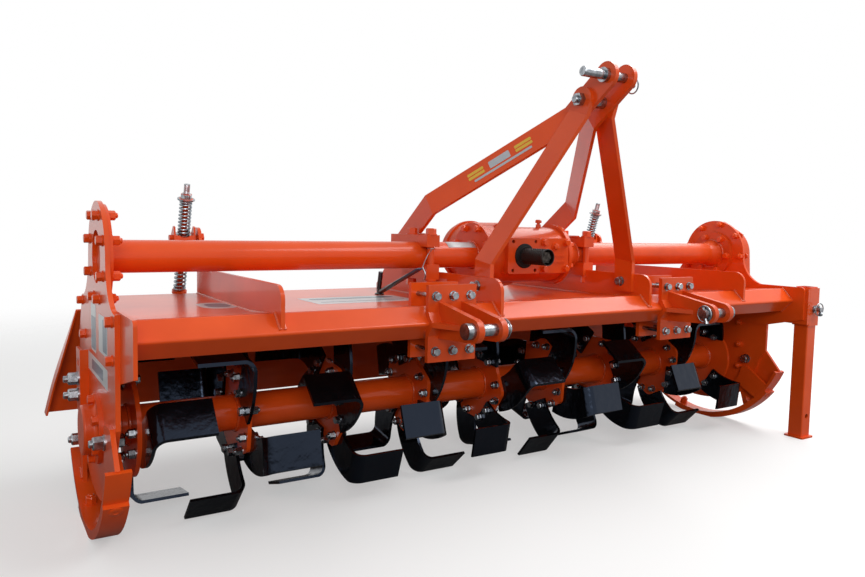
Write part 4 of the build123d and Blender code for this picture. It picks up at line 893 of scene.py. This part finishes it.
# ---- Skid soles: plug in the wear strip, bolt inside -----------------------------------------
sole_shapes = []
sunk = turned([(14, -1, 0), (14, 0.8, 0), (12.5, 1.6, 0), (6, 1.6, 0), (5, 0.4, 0)], 32)
for name in ("skid_support", "skid_drive"):
    middle = sum(corners(name))[0] / 2
    for angle, inward in ((218.5, False), (284, True), (232, True)):
        way = np.array([0, np.cos(np.radians(angle)), np.sin(np.radians(angle))])
        radius = sole_radius - sole_plate if inward else sole_radius + sole_plate
        shape = nut_and_stud(M16, 5) if inward else sunk
        sole_shapes.append(copies(shape, np.array([middle, *sole]) + radius * way, -way if inward else way))
add_piece("sole_bolts", sole_shapes, "frame", powder)

# ---- Rest hook: flat-ended strap, foot disc and its wire clip ------------------------------------
hook_x = sum(corners("rest_hook"))[0] / 2
hook_radius, hook_bend = 7, 16
front, knee, tip = np.array([359.0, 118.0]), np.array([590.0, 30.0]), np.array([577.0, 95.0])
way_in, way_out = unit(front - knee), unit(tip - knee)
bend = np.linspace(0, 1, 14)[:, None]
near_in, near_out = knee + hook_bend * way_in, knee + hook_bend * way_out
knee_curve = (1 - bend) ** 2 * near_in + 2 * bend * (1 - bend) * knee + bend**2 * near_out
strap_line = np.concatenate(
    [np.linspace(front, near_in, 60)[:-1], knee_curve, np.linspace(near_out, tip, 10)[1:]]
)
strap_path = np.column_stack([np.full(len(strap_line), hook_x), strap_line])
from_end = np.linalg.norm(strap_line - front, axis=1)
flat_share = np.clip((190 - from_end) / 60, 0, 1)
round_nose = np.sqrt(np.clip(1 - (np.clip(11 - from_end, 0, 11) / 11.4) ** 2, 0, 1))
half_width = (hook_radius + 4.5 * flat_share) * round_nose
half_height = (hook_radius - 3.2 * flat_share) * (0.4 + 0.6 * round_nose)
foot_disc = turned([(14, 0, 0), (14, 3, 0), (9, 6, 0), (8, 16, 0)], 32)
strap_up = np.cross([0, *way_in], X)
strap_shapes = [
    bar(strap_path, strap_up, np.column_stack([half_width, half_height]), 20),
    copies(foot_disc, (hook_x, knee[0] - hook_radius, deck_z), Z),
]
strap = add_piece("rest_strap", strap_shapes, "frame", dipped, crease=40)
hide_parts("rest_hook")

clip_bolt = np.array([clamp_x[1], clamp_bolts[0][1], axle[1] + 20])
clip_start = clip_bolt - 10 * Y
clip_end = np.array([hook_x + 10, front[0] + 4, front[1] + 2])
share = np.linspace(0, 1, 40)[:, None]
clip_line = clip_start + (clip_end - clip_start) * share + np.sin(np.pi * share) * np.array([-6, -10, 9])
tail = clip_end + np.array([4, -4, -34]) * share + np.sin(np.pi * share) * np.array([3, -5, 0])
bolt_turn = np.linspace(0, 2 * np.pi, 40, endpoint=False)[:, None]
bolt_loop = clip_bolt + 11 * (np.cos(bolt_turn) * X + np.sin(bolt_turn) * Y)
clip_wire = 1.1
clip_shapes = [
    bar(clip_line, Z + 0.01 * X, clip_wire, 8),
    bar(tail, X, 2 * clip_wire, 8),
    bar(bolt_loop, Z, clip_wire, 8, closed=True),
]
add_piece("rest_clip", clip_shapes, "frame", zinc)


# ---- Labels: blank films and plain stripes -----------------------------------------------
def label(outline, origin, right, up, lift=0.25):
    """Film of an outline, lying in the plane of right and up with its middle at origin."""
    points, groups = slab(outline, lift)
    turn = np.stack([unit(right), unit(up), unit(np.cross(right, up))], axis=-1)
    return np.asarray(origin, float) + points @ turn.T, groups


pale = printed_vinyl("pale_vinyl", "#D6DCDD")
slate = printed_vinyl("slate_vinyl", "#5F7485")
yellow = printed_vinyl("yellow_vinyl", "#E3B93A")
silver = printed_vinyl("silver_vinyl", "#B9C2C8")
# A pale film lies on the steel, and a slate one on that.
film, over_film = support_out - 0.1, support_out - 0.4
deck_film, over_deck_film = deck_z + 0.1, deck_z + 0.4
pale_labels = [
    label(rounded(300, 150, 6), (-495, 475, deck_film), X, Y),
    label(rounded(90, 130, 44, 10), (-888, 470, deck_film), X, Y),
    label(rounded(116, 84, 5), (film, 376, -17), -Y, Z),
    label(rounded(300, 44, 4), (film, 470, -106), -Y, Z),
    label(rounded(74, 112, 4), (film, 512, -17), -Y, Z),
]
add_piece("pale_labels", pale_labels, "frame", pale)
slate_labels = [
    label(rounded(254, 22, 3), (-495, 512, over_deck_film), X, Y),
    label(rounded(254, 8, 3), (-495, 440, over_deck_film), X, Y),
    label(rounded(56, 80, 26, 10), (-888, 470, over_deck_film), X, Y),
    label(rounded(50, 70, 4), (over_film, 352, -17), -Y, Z),
    label(rounded(160, 24, 3), (over_film, 460, -106), -Y, Z),
    label(rounded(60, 76, 3), (over_film, 512, -29), -Y, Z),
]
add_piece("slate_labels", slate_labels, "frame", slate)

tube_film = axle_radius + 0.3
wrap = np.radians(np.linspace(36, 80, 15))
film_x = np.linspace(-226, -128, 6)
film_points = np.stack(np.broadcast_arrays(
    film_x[:, None],
    axle[0] - tube_film * np.cos(wrap),
    axle[1] + tube_film * np.sin(wrap),
), axis=-1).reshape(-1, 3)
film_faces = grid_quads(len(film_x), len(wrap), wrap_columns=False)
tube_label = add_piece("tube_label", [(film_points, [film_faces])], "frame", pale)
skin = tube_label.modifiers.new("film", "SOLIDIFY")
skin.thickness = 0.4 * MM
skin.offset = 0

# Stripes along the right brace: yellow pairs at both ends and a silver bar below them.
fall = np.radians(37)
brace_bend, brace_end = 150, 541
brace_x, brace_foot_x = 39, 280
run_down = np.array([-(brace_foot_x - brace_x) / (brace_end - brace_bend), np.cos(fall), -np.sin(fall)])
brace_up = np.array([0, np.sin(fall), np.cos(fall)])
brace_out = unit(np.cross(run_down, brace_up))
brace_out = brace_out * -np.sign(brace_out[0])


def on_brace(distance, across):
    """Point on the outer face of the right brace, at a distance down from the top pin's height."""
    start = np.array([
        -brace_x, top_line[0] + brace_bend * np.cos(fall), top_line[1] - brace_bend * np.sin(fall)
    ])
    return start + (distance - brace_bend) * run_down + across * brace_up + 0.15 * brace_out


def stripe(width, height, corner, distance, across):
    """Bar along the brace, its middle at a distance and a step across."""
    return label(rounded(width, height, corner), on_brace(distance, across), -run_down, brace_up, 0.4)


yellow_stripes = [stripe(52, 9, 2.5, middle, across) for middle in (272, 402) for across in (-1, 11)]
add_piece("yellow_stripes", yellow_stripes, "frame", yellow)
add_piece("silver_stripes", [stripe(184, 7, 3, 334, -15), stripe(66, 22, 3, 337, 5)], "frame", silver)

# ---- Stage, light and camera -----------------------------------------------------
floor_z = cad_box[0][2]
REACH = 30
floor_corners = [(x * REACH, y * REACH, floor_z) for x, y in ((-1, -1), (1, -1), (1, 1), (-1, 1))]
floor_mesh = bpy.data.meshes.new("floor")
floor_mesh.from_pydata(floor_corners, [], [(0, 1, 2, 3)])
floor = bpy.data.objects.new("floor", floor_mesh)
bpy.context.collection.objects.link(floor)


PAPER_GLOW = 0.42


def studio_floor():
    """Seamless white studio paper: matt, and fading into the white backdrop away from the object. The
    camera sees it paler than it lights the object, so the shadow stays soft."""
    material, tree, shader, place = new_material("studio_paper", Roughness=0.95)
    seen_ray = add_node(tree, "LightPath").outputs["Is Camera Ray"]
    seen_floor = add_node(tree, "Mix", {"data_type": "RGBA"}, {0: seen_ray})
    seen_floor.inputs[6].default_value = hex_colour("#787877")
    seen_floor.inputs[7].default_value = hex_colour("#F6F6F5")
    tree.links.new(seen_floor.outputs[2], shader.inputs["Base Color"])
    spread = add_node(tree, "VectorMath", {"operation": "LENGTH"}, {"Vector": place})
    far = add_node(
        tree, "MapRange", {"interpolation_type": "SMOOTHSTEP"}, {"Value": spread.outputs["Value"]},
        From_Min=2.2, From_Max=5.5,
    )
    lift = add_node(tree, "Math", {"operation": "MULTIPLY"}, {0: seen_ray})
    lift.inputs[1].default_value = PAPER_GLOW
    paper = add_node(tree, "MixShader", links={"Fac": lift.outputs["Value"]})
    glow = add_node(tree, "Emission", Strength=1.0)
    tree.links.new(shader.outputs["BSDF"], paper.inputs[1])
    tree.links.new(glow.outputs["Emission"], paper.inputs[2])
    clear = add_node(tree, "BsdfTransparent")
    mixed = add_node(tree, "MixShader", links={"Fac": far.outputs["Result"]})
    tree.links.new(paper.outputs["Shader"], mixed.inputs[1])
    tree.links.new(clear.outputs["BSDF"], mixed.inputs[2])
    tree.links.new(mixed.outputs["Shader"], tree.nodes["Material Output"].inputs["Surface"])
    return material


floor_mesh.materials.append(studio_floor())

# The camera and reflections see a white backdrop; everything else is lit by a dimmer one.
SKY_LIGHT, WHITE_BACKDROP = 0.43, 1.0
world = bpy.context.scene.world or bpy.data.worlds.new("world")
bpy.context.scene.world = world
world.use_nodes = True
tree = world.node_tree
soft = tree.nodes["Background"]
soft.inputs["Color"].default_value = (1, 1, 1, 1)
soft.inputs["Strength"].default_value = SKY_LIGHT
white = add_node(tree, "Background", Strength=WHITE_BACKDROP)
white.inputs["Color"].default_value = (1, 1, 1, 1)
rays = add_node(tree, "LightPath")
seen = add_node(
    tree, "Math", {"operation": "MAXIMUM"},
    {0: rays.outputs["Is Camera Ray"], 1: rays.outputs["Is Glossy Ray"]},
)
seen = add_node(
    tree, "Math", {"operation": "MAXIMUM"},
    {0: seen.outputs["Value"], 1: rays.outputs["Is Transmission Ray"]},
)
backdrop = add_node(tree, "MixShader", links={"Fac": seen.outputs["Value"]})
tree.links.new(soft.outputs["Background"], backdrop.inputs[1])
tree.links.new(white.outputs["Background"], backdrop.inputs[2])
tree.links.new(backdrop.outputs["Shader"], tree.nodes["World Output"].inputs["Surface"])


def area_light(name, place, target, size, watts):
    """Rectangular soft box at a place, turned to its target."""
    lamp = bpy.data.lights.new(name, "AREA")
    lamp.shape = "RECTANGLE"
    lamp.size, lamp.size_y = size
    lamp.energy = watts
    holder = bpy.data.objects.new(name, lamp)
    holder.location = place
    holder.rotation_euler = (Vector(target) - Vector(place)).to_track_quat("-Z", "Y").to_euler()
    bpy.context.collection.objects.link(holder)


area_light("overhead", place=(2.7, 0.2, 2.9), target=(2.4, 0.35, 0), size=(6.6, 1.9), watts=200)
area_light("front", place=(-2.2, -3.4, 1.6), target=(0, 0.3, 0), size=(2.2, 1.6), watts=56)

CAMERA_PLACE = (-1.4074, -1.2907, 0.2329)
YAW, PITCH, ROLL = np.radians((31.84, -4.16, 1.15)).tolist()
lens = bpy.data.cameras.new("camera")
lens.sensor_width = 36
lens.lens = 30.0
lens.shift_x = 0.0200
lens.shift_y = -0.0118
camera = bpy.data.objects.new("camera", lens)
turn = Euler((np.pi / 2 + PITCH, 0, -YAW)).to_matrix() @ Matrix.Rotation(ROLL, 3, "Z")
camera.matrix_world = Matrix.Translation(CAMERA_PLACE) @ turn.to_4x4()
bpy.context.collection.objects.link(camera)
bpy.context.scene.camera = camera
bpy.context.scene.view_settings.view_transform = "Standard"
